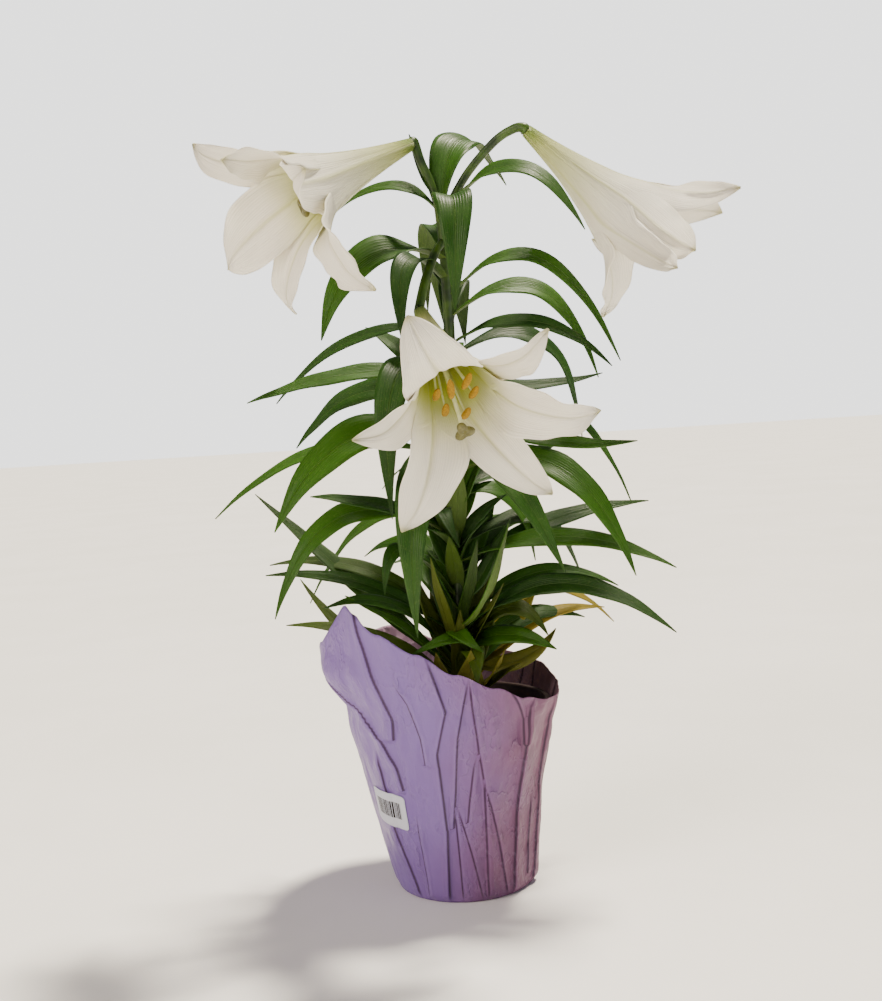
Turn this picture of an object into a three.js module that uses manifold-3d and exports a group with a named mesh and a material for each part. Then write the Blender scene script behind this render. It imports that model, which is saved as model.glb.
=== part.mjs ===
// Potted easter lily: a flowering stem in a nursery pot, in a gathered wrapper
// Millimetres, +Z up, origin on the floor under the middle of the pot; the front faces -Y

import * as THREE from "three";
import { mergeVertices } from "three/addons/utils/BufferGeometryUtils.js";
import Module from "manifold-3d";

const wasm = await Module();
wasm.setup();

// Driving dimensions

const GAP = 0.3; // between pieces that rest on each other
const POT = { height: 140, base: 52, top: 71, rim: 74.3, rimHeight: 12, wall: 1.4, sides: 24 };
const SOIL_TOP = 124;
const BULB = { bottom: 32, height: 52, radius: 29 };
const COVER = { base: 55, neck: 82, lean: 2.5, neckHeight: 138, wall: 1, pleats: 20, pleatDepth: 2 };
const LABEL = { width: 29, height: 33, thickness: 0.6, azimuth: 222, middle: 72, tilt: 9 };
const STEM = { bottomRadius: 5.2, topRadius: 4, stalkRadius: 3.2, sides: 8 };
const BLADE = { thickness: 0.8, foldAtStem: 20, foldAtTip: 6, turn: 48, broad: 18 };
const BROAD_ROWS = [0, 0.16, 0.36, 0.57, 0.78, 1];
const NARROW_ROWS = [0, 0.2, 0.45, 0.72, 1];
const PETAL = { thickness: 1, inset: 2.5, innerHalfWidth: 23, outerHalfWidth: 15.5 };

// The trumpet: opening angle from its axis, in degrees, at the base and where the petals part
const TRUMPET = { baseRadius: 4.5, baseAngle: 8.5, throatAngle: 21, throat: 0.5, curl: 1.3 };

// Stem line, from the top of the bulb to the crown of flower stalks
const STEM_LINE = [[0, 0, 85], [2, 0, 125], [7, 0, 250], [12, 0, 440], [11, 0, 528]];

// Blooms: six petals each, wide inner and narrow outer ones in turn, as [flare, sway]
const BLOOMS = {
  left: {
    base: [-9, 0, 575],
    axis: [-0.779, -0.485, -0.397],
    length: 184,
    phase: 25,
    petals: [[28, 30], [80, -5], [130, -6], [125, 16], [87, -22], [112, -28]],
    stalk: [[11, 0, 518], [6, 3, 540], [-2, 2, 562]],
    antherReach: 82,
    styleReach: 106,
  },
  right: {
    base: [80, 0, 580],
    axis: [0.736, 0.166, -0.656],
    length: 172,
    phase: 33,
    petals: [[25, -20], [130, -5], [64, -22], [84, 52], [71, -21], [58, -10]],
    stalk: [[11, 0, 516], [32, 5, 550], [55, 5, 574], [70, 1, 582]],
    antherReach: 96,
    styleReach: 118,
  },
  front: {
    base: [-9, -42, 444],
    axis: [0.209, -0.743, -0.636],
    length: 185,
    phase: 328,
    petals: [[114, -2], [80, -7], [113, 5], [94, -20], [85, -4], [63, 20]],
    stalk: [[11, 0, 500], [5, -18, 490], [-4, -32, 468]],
    antherReach: 104,
    styleReach: 128,
  },
};

// Leaves that the front view shows, as
// [height on the stem, crest x, y, z, tip x, y, z, width]
const LEAVES = [
  [520, -21, 5, 545, -71, 15, 530, 12],
  [524, 32, 30, 583, 67, 70, 553, 32],
  [515, 64, -25, 549, 115, -45, 496, 17],
  [512, 18, -35, 528, 16, -62, 440, 29],
  [455, 58, -5, 485, 140, -20, 400, 16],
  [440, 73, 10, 463, 126, 5, 389, 20],
  [420, 66, -15, 435, 132, -30, 396, 15],
  [410, 80, 25, 424, 115, 40, 342, 24],
  [400, 68, 60, 388, 141, 90, 395, 16],
  [370, 96, -5, 341, 154, 5, 338, 16],
  [340, 85, 20, 370, 151, 30, 287, 14],
  [305, 55, 40, 325, 103, 80, 340, 18],
  [320, 76, -45, 328, 135, -75, 243, 25],
  [240, 92, 30, 279, 168, 50, 287, 17],
  [250, 91, -15, 268, 173, -30, 241, 18],
  [335, 27, -44, 340, 83, -88, 250, 25],
  [260, 80, 30, 278, 110, 45, 218, 18],
  [200, 93, 20, 238, 136, 25, 222, 15],
  [190, 84, -35, 235, 164, -65, 198, 20],
  [165, 74, 40, 224, 137, 70, 185, 18],
  [140, 76, 30, 201, 127, 50, 201, 16],
  [175, 57, -20, 214, 73, -30, 195, 18],
  [180, 51, -35, 197, 77, -50, 188, 20],
  [170, 60, 0, 175, 83, 15, 192, 16],
  [130, 38, -30, 169, 50, -40, 177, 15],
  [150, 16, -50, 187, 16, -70, 168, 20],
  [170, -3, -45, 199, -31, -60, 192, 16],
  [195, 11, -50, 199, 22, -60, 191, 15],
  [200, 22, -45, 220, 46, -60, 285, 20],
  [170, 48, 20, 196, 74, 30, 241, 15],
  [485, -32, -15, 494, -83, -45, 427, 32],
  [470, -13, -35, 484, -22, -60, 416, 20],
  [430, -38, 10, 436, -128, 20, 384, 13],
  [380, -24, 35, 420, -56, 60, 443, 19],
  [400, -61, -10, 403, -145, -20, 385, 17],
  [390, -22, -60, 404, -37, -95, 296, 27],
  [365, -49, 10, 390, -114, 15, 348, 25],
  [345, -61, -45, 355, -123, -75, 290, 35],
  [330, -76, 20, 348, -185, 30, 295, 14],
  [160, -83, 25, 245, -154, 45, 312, 16],
  [260, -44, -55, 302, -94, -90, 315, 24],
  [270, -79, -35, 295, -130, -55, 224, 22],
  [195, -95, 30, 255, -146, 45, 253, 14],
  [190, -88, -10, 247, -141, -15, 252, 14],
  [280, -49, 45, 289, -118, 70, 216, 16],
  [140, -95, 35, 206, -122, 45, 240, 14],
  [160, -56, -45, 232, -91, -75, 233, 18],
  [150, -90, 20, 202, -134, 30, 205, 14],
  [330, -16, -80, 325, -24, -110, 214, 30],
  [240, -38, 40, 268, -69, 60, 254, 18],
  [220, -43, -45, 263, -48, -55, 237, 16],
  [160, -42, -40, 214, -77, -60, 239, 16],
  [260, 0, -60, 294, 9, -75, 271, 14],
  [300, 37, 10, 306, 70, 20, 247, 18],
  [526, 0, 6, 555, -10, 14, 586, 9],
];

// Rim of the wrapper as [azimuth, radius, height], from the tall front left corner round
const RIM = [
  [215, 102, 236], [235, 98, 214], [252, 91, 197], [270, 88, 181], [290, 85, 168], [307, 84, 157],
  [325, 83, 151], [345, 82, 150], [365, 83, 152], [395, 84, 160], [420, 86, 166], [450, 89, 172],
  [485, 97, 192], [510, 100, 184], [535, 103, 182], [555, 105, 200],
];

// Leaves on the far side, set by the spiral of the stem
const BACK_LEAVES = { count: 14, lowest: 145, highest: 490, turn: 137.5, width: 20 };

const COLOURS = {
  leaf: 0x2c4c14,
  petal: 0xefe9da,
  stamen: 0xc98a14,
  pot: 0x3a5c3a,
  soil: 0x2e2118,
  bulb: 0xd9cba0,
  cover: 0x8c7aa6,
  label: 0xf1f1ee,
};

const vec = (x, y, z) => new THREE.Vector3(x, y, z);
const rad = THREE.MathUtils.degToRad;
const mix = THREE.MathUtils.lerp;
const smooth = THREE.MathUtils.smoothstep;

// Solids

function toSolid(geometry) {
  const bare = geometry.clone();
  bare.deleteAttribute("normal");
  bare.deleteAttribute("uv");
  const merged = mergeVertices(bare, 1e-4);
  const vertProperties = new Float32Array(merged.attributes.position.array);
  const triVerts = new Uint32Array(merged.index.array);
  return new wasm.Manifold(new wasm.Mesh({ numProp: 3, vertProperties, triVerts }));
}

function toGeometry(solid) {
  const mesh = solid.getMesh();
  const geometry = new THREE.BufferGeometry();
  geometry.setAttribute("position", new THREE.BufferAttribute(mesh.vertProperties, 3));
  geometry.setIndex(new THREE.BufferAttribute(mesh.triVerts, 1));
  geometry.computeVertexNormals();
  return geometry;
}

function joined(geometries) {
  return outerShell(toGeometry(wasm.Manifold.union(geometries.map(toSolid))));
}

// Where crossing blades shut in a pocket, its walls are dropped, so the piece is solid there
function outerShell(geometry) {
  const index = geometry.index.array;
  const position = geometry.attributes.position;
  const link = Array.from({ length: position.count }, (_, i) => i);
  const find = (i) => {
    while (link[i] !== i) {
      link[i] = link[link[i]];
      i = link[i];
    }
    return i;
  };
  let highest = 0;
  for (let i = 0; i < index.length; i += 3) {
    link[find(index[i + 1])] = find(index[i]);
    link[find(index[i + 2])] = find(index[i]);
    if (position.getZ(index[i]) > position.getZ(highest)) highest = index[i];
  }
  const shell = find(highest);
  geometry.setIndex(Array.from(index).filter((_, i) => find(index[i - (i % 3)]) === shell));
  return mergeVertices(geometry);
}

// A thin closed solid round a sheet: both faces are split alike, and its free edges are walled
function thicken(points, normals, cells, thickness) {
  const positions = [];
  for (const side of [thickness / 2, -thickness / 2]) {
    points.forEach((point, i) => {
      positions.push(...point.clone().addScaledVector(normals[i], side));
    });
  }
  const below = points.length;
  const index = [];
  const edges = new Map();
  for (const cell of cells) {
    for (let i = 2; i < cell.length; i++) {
      index.push(cell[0], cell[i - 1], cell[i]);
      index.push(below + cell[0], below + cell[i], below + cell[i - 1]);
    }
    cell.forEach((from, i) => {
      const to = cell[(i + 1) % cell.length];
      const shared = edges.delete(`${to},${from}`);
      if (!shared) edges.set(`${from},${to}`, [from, to]);
    });
  }
  for (const [from, to] of edges.values()) {
    index.push(to, from, below + from);
    index.push(to, below + from, below + to);
  }
  const geometry = new THREE.BufferGeometry();
  geometry.setAttribute("position", new THREE.Float32BufferAttribute(positions, 3));
  geometry.setIndex(index);
  return geometry;
}

// Cells of a grid whose points are stored row by row
function gridCells(across, along) {
  const cells = [];
  const row = across + 1;
  for (let j = 0; j < along; j++) {
    for (let i = 0; i < across; i++) {
      const a = j * row + i;
      cells.push([a, a + 1, a + 1 + row, a + row]);
    }
  }
  return cells;
}

// A round tapered shoot along a curve, closed at both ends
function shoot(curve, startRadius, endRadius, sides, steps) {
  const geometry = new THREE.CylinderGeometry(endRadius, startRadius, 1, sides, steps);
  const position = geometry.attributes.position;
  for (let i = 0; i < position.count; i++) {
    const t = position.getY(i) + 0.5;
    const along = curve.getTangent(t);
    const side = vec(0, 1, 0.01).cross(along).normalize();
    const front = along.clone().cross(side);
    const point = curve.getPoint(t);
    point.addScaledVector(side, position.getX(i));
    point.addScaledVector(front, -position.getZ(i));
    position.setXYZ(i, ...point);
  }
  return geometry;
}

// Leafy stem

const stemCurve = new THREE.CatmullRomCurve3(STEM_LINE.map((p) => vec(...p)));

function stemPoint(height) {
  let low = 0;
  let high = 1;
  for (let i = 0; i < 20; i++) {
    const middle = (low + high) / 2;
    if (stemCurve.getPoint(middle).z < height) low = middle;
    else high = middle;
  }
  return stemCurve.getPoint(low);
}

// A quadratic arc from start to end that passes through a middle point
function arcThrough(start, middle, end) {
  const first = start.distanceTo(middle);
  const t = first / (first + middle.distanceTo(end));
  const control = middle.clone();
  control.addScaledVector(start, -((1 - t) ** 2));
  control.addScaledVector(end, -(t ** 2));
  control.divideScalar(2 * t * (1 - t));
  return new THREE.QuadraticBezierCurve3(start, control, end);
}

// Half width of a leaf: narrow where it clasps the stem, widest at two fifths, drawn out to its tip
function leafHalfWidth(s, width) {
  const widest = 0.4;
  const rise = 0.3 + 0.7 * Math.sin((Math.min(s / widest, 1) * Math.PI) / 2);
  const fall = Math.cos((Math.max(s - widest, 0) / (1 - widest)) * (Math.PI / 2));
  return (width / 2) * rise * fall + 0.4;
}

function leafBlade(root, crest, tip, width) {
  const spine = arcThrough(root, crest, tip);
  const heading = tip.clone().sub(root).setZ(0).normalize();
  const level = vec(heading.y, -heading.x, 0);
  const points = [];
  const normals = [];
  const rows = width < BLADE.broad ? NARROW_ROWS : BROAD_ROWS;
  for (const s of rows) {
    const along = spine.getTangent(s);
    const side = level.clone().addScaledVector(along, -level.dot(along)).normalize();
    side.applyAxisAngle(along, rad(BLADE.turn) * heading.x * smooth(s, 0, 0.4));
    const up = side.clone().cross(along);
    const fold = rad(mix(BLADE.foldAtStem, BLADE.foldAtTip, s));
    const half = leafHalfWidth(s, width);
    for (const edge of [-1, 0, 1]) {
      const point = spine.getPoint(s).addScaledVector(side, edge * half * Math.cos(fold));
      points.push(point.addScaledVector(up, Math.abs(edge) * half * Math.sin(fold)));
      normals.push(up.clone().addScaledVector(side, -edge * Math.sin(fold)));
    }
  }
  return thicken(points, normals, gridCells(2, rows.length - 1), BLADE.thickness);
}

function frontLeaves() {
  return LEAVES.map(([height, cx, cy, cz, tx, ty, tz, width]) =>
    leafBlade(stemPoint(height), vec(cx, cy, cz), vec(tx, ty, tz), width),
  );
}

function backLeaves() {
  const { count, lowest, highest, turn, width } = BACK_LEAVES;
  const blades = [];
  for (let i = 0; i < count; i++) {
    const share = i / (count - 1);
    const height = mix(lowest, highest, share);
    const spread = mix(68, 12, share);
    const azimuth = rad(90 + spread * (((i * turn) % 360) / 180 - 1));
    const reach = mix(115, 70, share) + 14 * Math.sin(5 * i);
    const root = stemPoint(height);
    const out = vec(Math.cos(azimuth), Math.sin(azimuth), 0);
    const crest = root.clone().addScaledVector(out, 0.55 * reach);
    crest.z = height + mix(58, 22, share) + 8 * Math.sin(3 * i);
    const tip = root.clone().addScaledVector(out, reach);
    tip.z = crest.z - mix(8, 55, share) - 14 * Math.sin(2 * i);
    blades.push(leafBlade(root, crest, tip, width + 4 * Math.sin(7 * i)));
  }
  return blades;
}

// The stalk bends over at its end and meets the flower's base square on
function stalk({ base, axis, stalk: points }) {
  const direction = vec(...axis).normalize();
  const end = vec(...base).addScaledVector(direction, -PETAL.thickness / 2 - GAP);
  const line = points.map((p) => vec(...p));
  line.push(end.clone().addScaledVector(direction, -3), end);
  const curve = new THREE.CatmullRomCurve3(line, false, "centripetal");
  return shoot(curve, STEM.stalkRadius, TRUMPET.baseRadius - 0.6, STEM.sides, 8);
}

function leafyStem() {
  const stem = shoot(stemCurve, STEM.bottomRadius, STEM.topRadius, STEM.sides, 12);
  const stalks = Object.values(BLOOMS).map(stalk);
  return joined([stem, ...stalks, ...frontLeaves(), ...backLeaves()]);
}

// Blooms

// Distance along the axis and radius of a petal's middle line, a share s along its length
function petalProfile(s, length, flare) {
  const { baseRadius, baseAngle, throatAngle, throat, curl } = TRUMPET;
  const steps = 40;
  let reach = 0;
  let radius = baseRadius;
  let angle = 0;
  for (let i = 0; i < steps; i++) {
    const at = (s * (i + 0.5)) / steps;
    const tube = baseAngle + (throatAngle - baseAngle) * Math.min(at / throat, 1) ** 2;
    const open = (flare - throatAngle) * (Math.max(at - throat, 0) / (1 - throat)) ** curl;
    angle = rad(tube + open);
    reach += (Math.cos(angle) * length * s) / steps;
    radius += (Math.sin(angle) * length * s) / steps;
  }
  return { reach, radius, angle };
}

function flowerFrame({ base, axis }) {
  const forward = vec(...axis).normalize();
  const up = vec(0, 0, 1).addScaledVector(forward, -forward.z).normalize();
  const right = up.clone().cross(forward);
  return { base: vec(...base), forward, up, right };
}

// Half width of a petal; the outer three close the tube, each over a third of it
function petalHalfWidth(s, radius, inner) {
  const { throat } = TRUMPET;
  if (inner) {
    const widest = 0.68;
    const grow = mix(11, PETAL.innerHalfWidth, smooth(s, 0.36, widest));
    return grow * Math.cos((Math.max(s - widest, 0) / (1 - widest)) * 1.53) ** 0.75;
  }
  const third = (radius * Math.PI) / 3;
  if (s <= throat) return third;
  const widest = 0.62;
  const narrow = mix(third, PETAL.outerHalfWidth, smooth(s, throat, widest));
  return narrow * Math.cos((Math.max(s - widest, 0) / (1 - widest)) * 1.53) ** 0.75;
}

// A point of petal number k and its inward normal: u from -1 to 1 across, s from 0 to 1 along
function petalPoint(flower, frame, k, u, s) {
  const inner = k % 2 === 0;
  const { throat } = TRUMPET;
  const [flare, sway] = flower.petals[k];
  const phase = rad(flower.phase + 60 * k);
  const out = frame.up.clone().multiplyScalar(Math.cos(phase));
  out.addScaledVector(frame.right, Math.sin(phase));
  const side = frame.right.clone().multiplyScalar(Math.cos(phase));
  side.addScaledVector(frame.up, -Math.sin(phase));
  const { reach, radius, angle } = petalProfile(s, flower.length, flare);
  const inward = frame.forward.clone().multiplyScalar(Math.sin(angle));
  inward.addScaledVector(out, -Math.cos(angle));
  const half = petalHalfWidth(s, radius, inner);
  const turn = (u * half) / radius;
  const past = Math.max(s - throat, 0) / (1 - throat);
  const inset = inner ? mix(0.5, PETAL.inset, smooth(s, throat - 0.05, 0.75)) : 0;
  const point = frame.base.clone().addScaledVector(frame.forward, reach);
  point.addScaledVector(out, radius);
  point.addScaledVector(side, radius * Math.sin(turn) + sway * past ** 2);
  point.addScaledVector(inward, radius * (1 - Math.cos(turn)) + inset);
  const normal = inward.clone().multiplyScalar(Math.cos(turn)).addScaledVector(side, -Math.sin(turn));
  return { point, normal };
}

const TUBE_ROWS = [0, 0.12, 0.25, 0.38, 0.5];
const OUTER_ROWS = [0.6, 0.7, 0.8, 0.9, 1];
const INNER_ROWS = [0.42, 0.51, 0.6, 0.7, 0.8, 0.9, 1];
const PETAL_CELLS = 4;

// The outer whorl: a tube that parts into three petals
function outerWhorl(flower) {
  const frame = flowerFrame(flower);
  const points = [frame.base.clone()];
  const normals = [frame.forward.clone()];
  const cells = [];
  const store = ({ point, normal }) => {
    points.push(point);
    normals.push(normal);
    return points.length - 1;
  };
  const ring = TUBE_ROWS.map((s) => {
    const row = [];
    for (const k of [1, 3, 5]) {
      for (let i = 0; i < PETAL_CELLS; i++) {
        row.push(store(petalPoint(flower, frame, k, (2 * i) / PETAL_CELLS - 1, s)));
      }
    }
    return row;
  });
  const around = ring[0].length;
  for (let i = 0; i < around; i++) {
    const next = (i + 1) % around;
    cells.push([0, ring[0][next], ring[0][i]]);
    for (let j = 1; j < ring.length; j++) {
      cells.push([ring[j - 1][i], ring[j - 1][next], ring[j][next], ring[j][i]]);
    }
  }
  [1, 3, 5].forEach((k, petal) => {
    let last = [];
    for (let i = 0; i <= PETAL_CELLS; i++) {
      last.push(ring.at(-1)[(petal * PETAL_CELLS + i) % around]);
    }
    for (const s of OUTER_ROWS) {
      const row = last.map((_, i) => store(petalPoint(flower, frame, k, (2 * i) / PETAL_CELLS - 1, s)));
      for (let i = 0; i < PETAL_CELLS; i++) {
        cells.push([last[i], last[i + 1], row[i + 1], row[i]]);
      }
      last = row;
    }
  });
  return thicken(points, normals, cells, PETAL.thickness);
}

// A wide inner petal, its root set into the wall of the tube
function innerPetal(flower, k) {
  const frame = flowerFrame(flower);
  const points = [];
  const normals = [];
  for (const s of INNER_ROWS) {
    for (let i = 0; i <= PETAL_CELLS; i++) {
      const { point, normal } = petalPoint(flower, frame, k, (2 * i) / PETAL_CELLS - 1, s);
      points.push(point);
      normals.push(normal);
    }
  }
  return thicken(points, normals, gridCells(PETAL_CELLS, INNER_ROWS.length - 1), PETAL.thickness);
}

function bloom(flower) {
  return joined([outerWhorl(flower), ...[0, 2, 4].map((k) => innerPetal(flower, k))]);
}

// Stamens: six filaments with their anthers round the style, on the floor of the tube

function stamens(flower) {
  const { antherReach, styleReach } = flower;
  const { base, forward, up, right } = flowerFrame(flower);
  const floor = PETAL.thickness / 2 + GAP;
  const at = (reach, out, azimuth) => {
    const point = base.clone().addScaledVector(forward, reach);
    point.addScaledVector(up, out * Math.cos(azimuth));
    return point.addScaledVector(right, out * Math.sin(azimuth));
  };
  const pieces = [];
  for (let i = 0; i < 6; i++) {
    const azimuth = rad(flower.phase + 60 * i);
    const reach = antherReach + 5 * Math.cos(2 * i);
    const line = [at(floor, 1.4, azimuth), at(45, 4, azimuth), at(reach, 13, azimuth)];
    const filament = new THREE.CatmullRomCurve3(line);
    pieces.push(shoot(filament, 1, 0.8, 4, 2));
    const anther = new THREE.SphereGeometry(1, 5, 3);
    anther.scale(2.4, 5.5, 2.4);
    anther.rotateZ(rad(20 * (i - 2.5)));
    anther.applyMatrix4(new THREE.Matrix4().makeBasis(right, up, forward));
    anther.translate(...at(reach, 13, azimuth));
    pieces.push(anther);
  }
  const style = new THREE.CatmullRomCurve3([at(floor, 0, 0), at(70, 1, Math.PI), at(styleReach, 10, Math.PI)]);
  pieces.push(shoot(style, 2.2, 1.2, 5, 3));
  const stigma = new THREE.SphereGeometry(1, 6, 4);
  const position = stigma.attributes.position;
  for (let i = 0; i < position.count; i++) {
    const lobe = 1 + 0.25 * Math.cos(3 * Math.atan2(position.getZ(i), position.getX(i)));
    position.setX(i, position.getX(i) * 5.5 * lobe);
    position.setZ(i, position.getZ(i) * 5.5 * lobe);
    position.setY(i, position.getY(i) * 3.5);
  }
  stigma.applyMatrix4(new THREE.Matrix4().makeBasis(right, forward, up.clone().negate()));
  stigma.translate(...at(styleReach, 10, Math.PI));
  pieces.push(stigma);
  return joined(pieces);
}

// Pot, soil and bulb

function lathe(profile, sides) {
  const outline = profile.map(([radius, height]) => new THREE.Vector2(radius, height));
  const geometry = new THREE.LatheGeometry(outline, sides);
  geometry.rotateX(Math.PI / 2);
  return geometry;
}

// The pot stands on the wrapper's floor
const POT_FLOOR = COVER.wall + GAP;

// Outer radius of the pot's tapered wall at a height
const potRadius = (height) => mix(POT.base, POT.top, (height - POT_FLOOR) / POT.height);

function pot() {
  const { height, rim, rimHeight, wall, sides } = POT;
  const top = POT_FLOOR + height;
  const lip = top - rimHeight;
  const inside = POT_FLOOR + wall;
  const body = lathe(
    [
      [0, POT_FLOOR],
      [potRadius(POT_FLOOR), POT_FLOOR],
      [potRadius(lip), lip],
      [rim, lip],
      [rim, top],
      [potRadius(top) - wall, top],
      [potRadius(inside) - wall, inside],
      [0, inside],
    ],
    sides,
  );
  let solid = toSolid(body);
  for (let i = 0; i < 5; i++) {
    const hole = new THREE.CylinderGeometry(4, 4, 6, 12);
    hole.rotateX(Math.PI / 2);
    hole.translate(38 * Math.cos(rad(72 * i)), 38 * Math.sin(rad(72 * i)), 0);
    solid = solid.subtract(toSolid(hole));
  }
  return toGeometry(solid);
}

// The soil fills the pot round the bulb, and the stem stands in a plain hole
function soil() {
  const bottom = POT_FLOOR + POT.wall + GAP;
  const hole = STEM.bottomRadius + 2.3;
  const gap = POT.wall + GAP;
  const { bottom: low, height, radius } = BULB;
  const profile = [
    [0, bottom],
    [potRadius(bottom) - gap, bottom],
    [potRadius(SOIL_TOP - 3) - gap, SOIL_TOP - 3],
    [potRadius(SOIL_TOP) * 0.6, SOIL_TOP],
    [hole, SOIL_TOP],
    [hole, low + height + 3],
    [hole + 5, low + height + 2 * GAP],
  ];
  for (const share of [0.9, 0.75, 0.5, 0.25, 0.08]) {
    const swell = Math.sqrt(1 - (2 * share - 1) ** 2);
    profile.push([Math.max((radius + 3.5) * swell, hole), low - 1 + (height + 2) * share]);
  }
  profile.push([0, low - 1]);
  return lathe(profile, POT.sides);
}

// A lily bulb: rows of overlapping scales as relief, flat where the stem stands
function bulb() {
  const geometry = new THREE.SphereGeometry(1, 18, 9);
  geometry.rotateX(Math.PI / 2);
  const position = geometry.attributes.position;
  for (let i = 0; i < position.count; i++) {
    const azimuth = Math.atan2(position.getY(i), position.getX(i));
    const up = position.getZ(i);
    const row = Math.floor((up + 1) * 3);
    const scale = 0.94 + 0.06 * Math.cos(6 * azimuth + row * Math.PI);
    position.setX(i, position.getX(i) * BULB.radius * scale);
    position.setY(i, position.getY(i) * BULB.radius * scale);
    position.setZ(i, BULB.bottom + (Math.min(up, 0.92) + 1) * (BULB.height / 1.92));
  }
  return geometry;
}

// Wrapper: a sheet gathered round the pot in flat pleats, its four corners standing above the rim

// Radius and height of the rim at an azimuth in degrees
function rimAt(azimuth) {
  const first = RIM[0][0];
  const at = first + THREE.MathUtils.euclideanModulo(azimuth - first, 360);
  const last = RIM.findLastIndex(([start]) => start <= at);
  const [from, fromRadius, fromHeight] = RIM[last];
  const [to, toRadius, toHeight] = RIM[last + 1] ?? [first + 360, RIM[0][1], RIM[0][2]];
  const share = smooth(at, from, to);
  return { radius: mix(fromRadius, toRadius, share), height: mix(fromHeight, toHeight, share) };
}

// Outer face of the wrapper below the pot's rim, without its pleats
function coverRadius(azimuth, height) {
  const neck = COVER.neck + COVER.lean * Math.cos(rad(azimuth - 190));
  return mix(COVER.base, neck, height / COVER.neckHeight);
}

function potCover() {
  const { base, wall, pleats, pleatDepth, neckHeight } = COVER;
  const columns = pleats * 3;
  const floor = wall / 2;
  const points = [vec(0, 0, floor)];
  const normals = [vec(0, 0, -1)];
  const cells = [];
  const addRing = (place) => {
    for (let i = 0; i < columns; i++) {
      const azimuth = (360 * i) / columns;
      const out = vec(Math.cos(rad(azimuth)), Math.sin(rad(azimuth)), 0);
      const { radius, height, normal } = place(azimuth, -(i % 3) / 2);
      points.push(out.clone().multiplyScalar(radius).setZ(height));
      normals.push(vec(out.x * normal, out.y * normal, height > floor ? 0 : -1));
    }
  };
  addRing(() => ({ radius: base - 6, height: floor, normal: 0 }));
  addRing(() => ({ radius: base - floor, height: floor, normal: 1 }));
  for (const share of [0.06, 0.5, 1]) {
    addRing((azimuth, pleat) => {
      const height = share * neckHeight;
      const depth = pleatDepth * Math.min(4 * share, 1);
      const radius = coverRadius(azimuth - 4 * pleat, height) - floor + depth * pleat;
      return { radius, height, normal: 1 };
    });
  }
  for (const share of [0.5, 1]) {
    addRing((azimuth, pleat) => {
      const rim = rimAt(azimuth);
      const height = mix(neckHeight, rim.height, share);
      const flare = mix(coverRadius(azimuth, neckHeight), rim.radius, share);
      return { radius: flare - floor + pleatDepth * pleat * (1 + share), height, normal: 1 };
    });
  }
  for (let i = 0; i < columns; i++) {
    const next = (i + 1) % columns;
    cells.push([0, 1 + next, 1 + i]);
    for (let low = 1; low + columns < points.length; low += columns) {
      cells.push([low + i, low + next, low + columns + next, low + columns + i]);
    }
  }
  return thicken(points, normals, cells, wall);
}

// A blank sticker, bent round the pleats
function coverLabel() {
  const { width, height, thickness, azimuth, middle, tilt } = LABEL;
  const across = 4;
  const along = 3;
  const points = [];
  const normals = [];
  const lean = rad(tilt);
  for (let j = 0; j <= along; j++) {
    for (let i = 0; i <= across; i++) {
      const x = width * (i / across - 0.5);
      const y = height * (j / along - 0.5);
      const z = middle + y * Math.cos(lean) - x * Math.sin(lean);
      const shift = x * Math.cos(lean) + y * Math.sin(lean);
      const radius = coverRadius(azimuth, z) + GAP + thickness / 2;
      const angle = rad(azimuth) + shift / radius;
      points.push(vec(radius * Math.cos(angle), radius * Math.sin(angle), z));
      normals.push(vec(Math.cos(angle), Math.sin(angle), 0));
    }
  }
  return thicken(points, normals, gridCells(across, along), thickness);
}

const PIECES = {
  leafy_stem: [leafyStem, "leaf"],
  bloom_left: [() => bloom(BLOOMS.left), "petal"],
  bloom_right: [() => bloom(BLOOMS.right), "petal"],
  bloom_front: [() => bloom(BLOOMS.front), "petal"],
  stamens_left: [() => stamens(BLOOMS.left), "stamen"],
  stamens_right: [() => stamens(BLOOMS.right), "stamen"],
  stamens_front: [() => stamens(BLOOMS.front), "stamen"],
  pot: [pot, "pot"],
  soil: [soil, "soil"],
  bulb: [bulb, "bulb"],
  pot_cover: [potCover, "cover"],
  cover_label: [coverLabel, "label"],
};

const lily = new THREE.Group();
for (const [name, [build, colour]] of Object.entries(PIECES)) {
  const material = new THREE.MeshStandardMaterial({ color: COLOURS[colour], roughness: 0.6, metalness: 0 });
  const mesh = new THREE.Mesh(build(), material);
  mesh.name = name;
  lily.add(mesh);
}

export default lily;
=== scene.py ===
"""Potted easter lily: a flowering stem in a nursery pot, in a gathered lavender wrapper"""

import math
import random

import bmesh
import bpy
from bpy.props import FloatProperty, FloatVectorProperty, PointerProperty
from mathutils import Matrix, Quaternion, Vector, noise


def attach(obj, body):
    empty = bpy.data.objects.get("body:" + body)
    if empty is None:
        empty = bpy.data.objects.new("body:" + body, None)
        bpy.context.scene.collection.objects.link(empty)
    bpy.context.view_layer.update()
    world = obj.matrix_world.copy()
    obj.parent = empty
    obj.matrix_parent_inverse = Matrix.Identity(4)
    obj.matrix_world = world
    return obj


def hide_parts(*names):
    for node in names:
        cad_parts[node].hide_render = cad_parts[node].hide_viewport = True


bl_info = {
    "name": "Potted Easter Lily",
    "version": (1, 0, 0),
    "blender": (4, 5, 0),
    "location": "View3D > Sidebar > Lily",
    "description": "Grows and dresses a potted easter lily over its packed model",
    "category": "Object",
}

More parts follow.
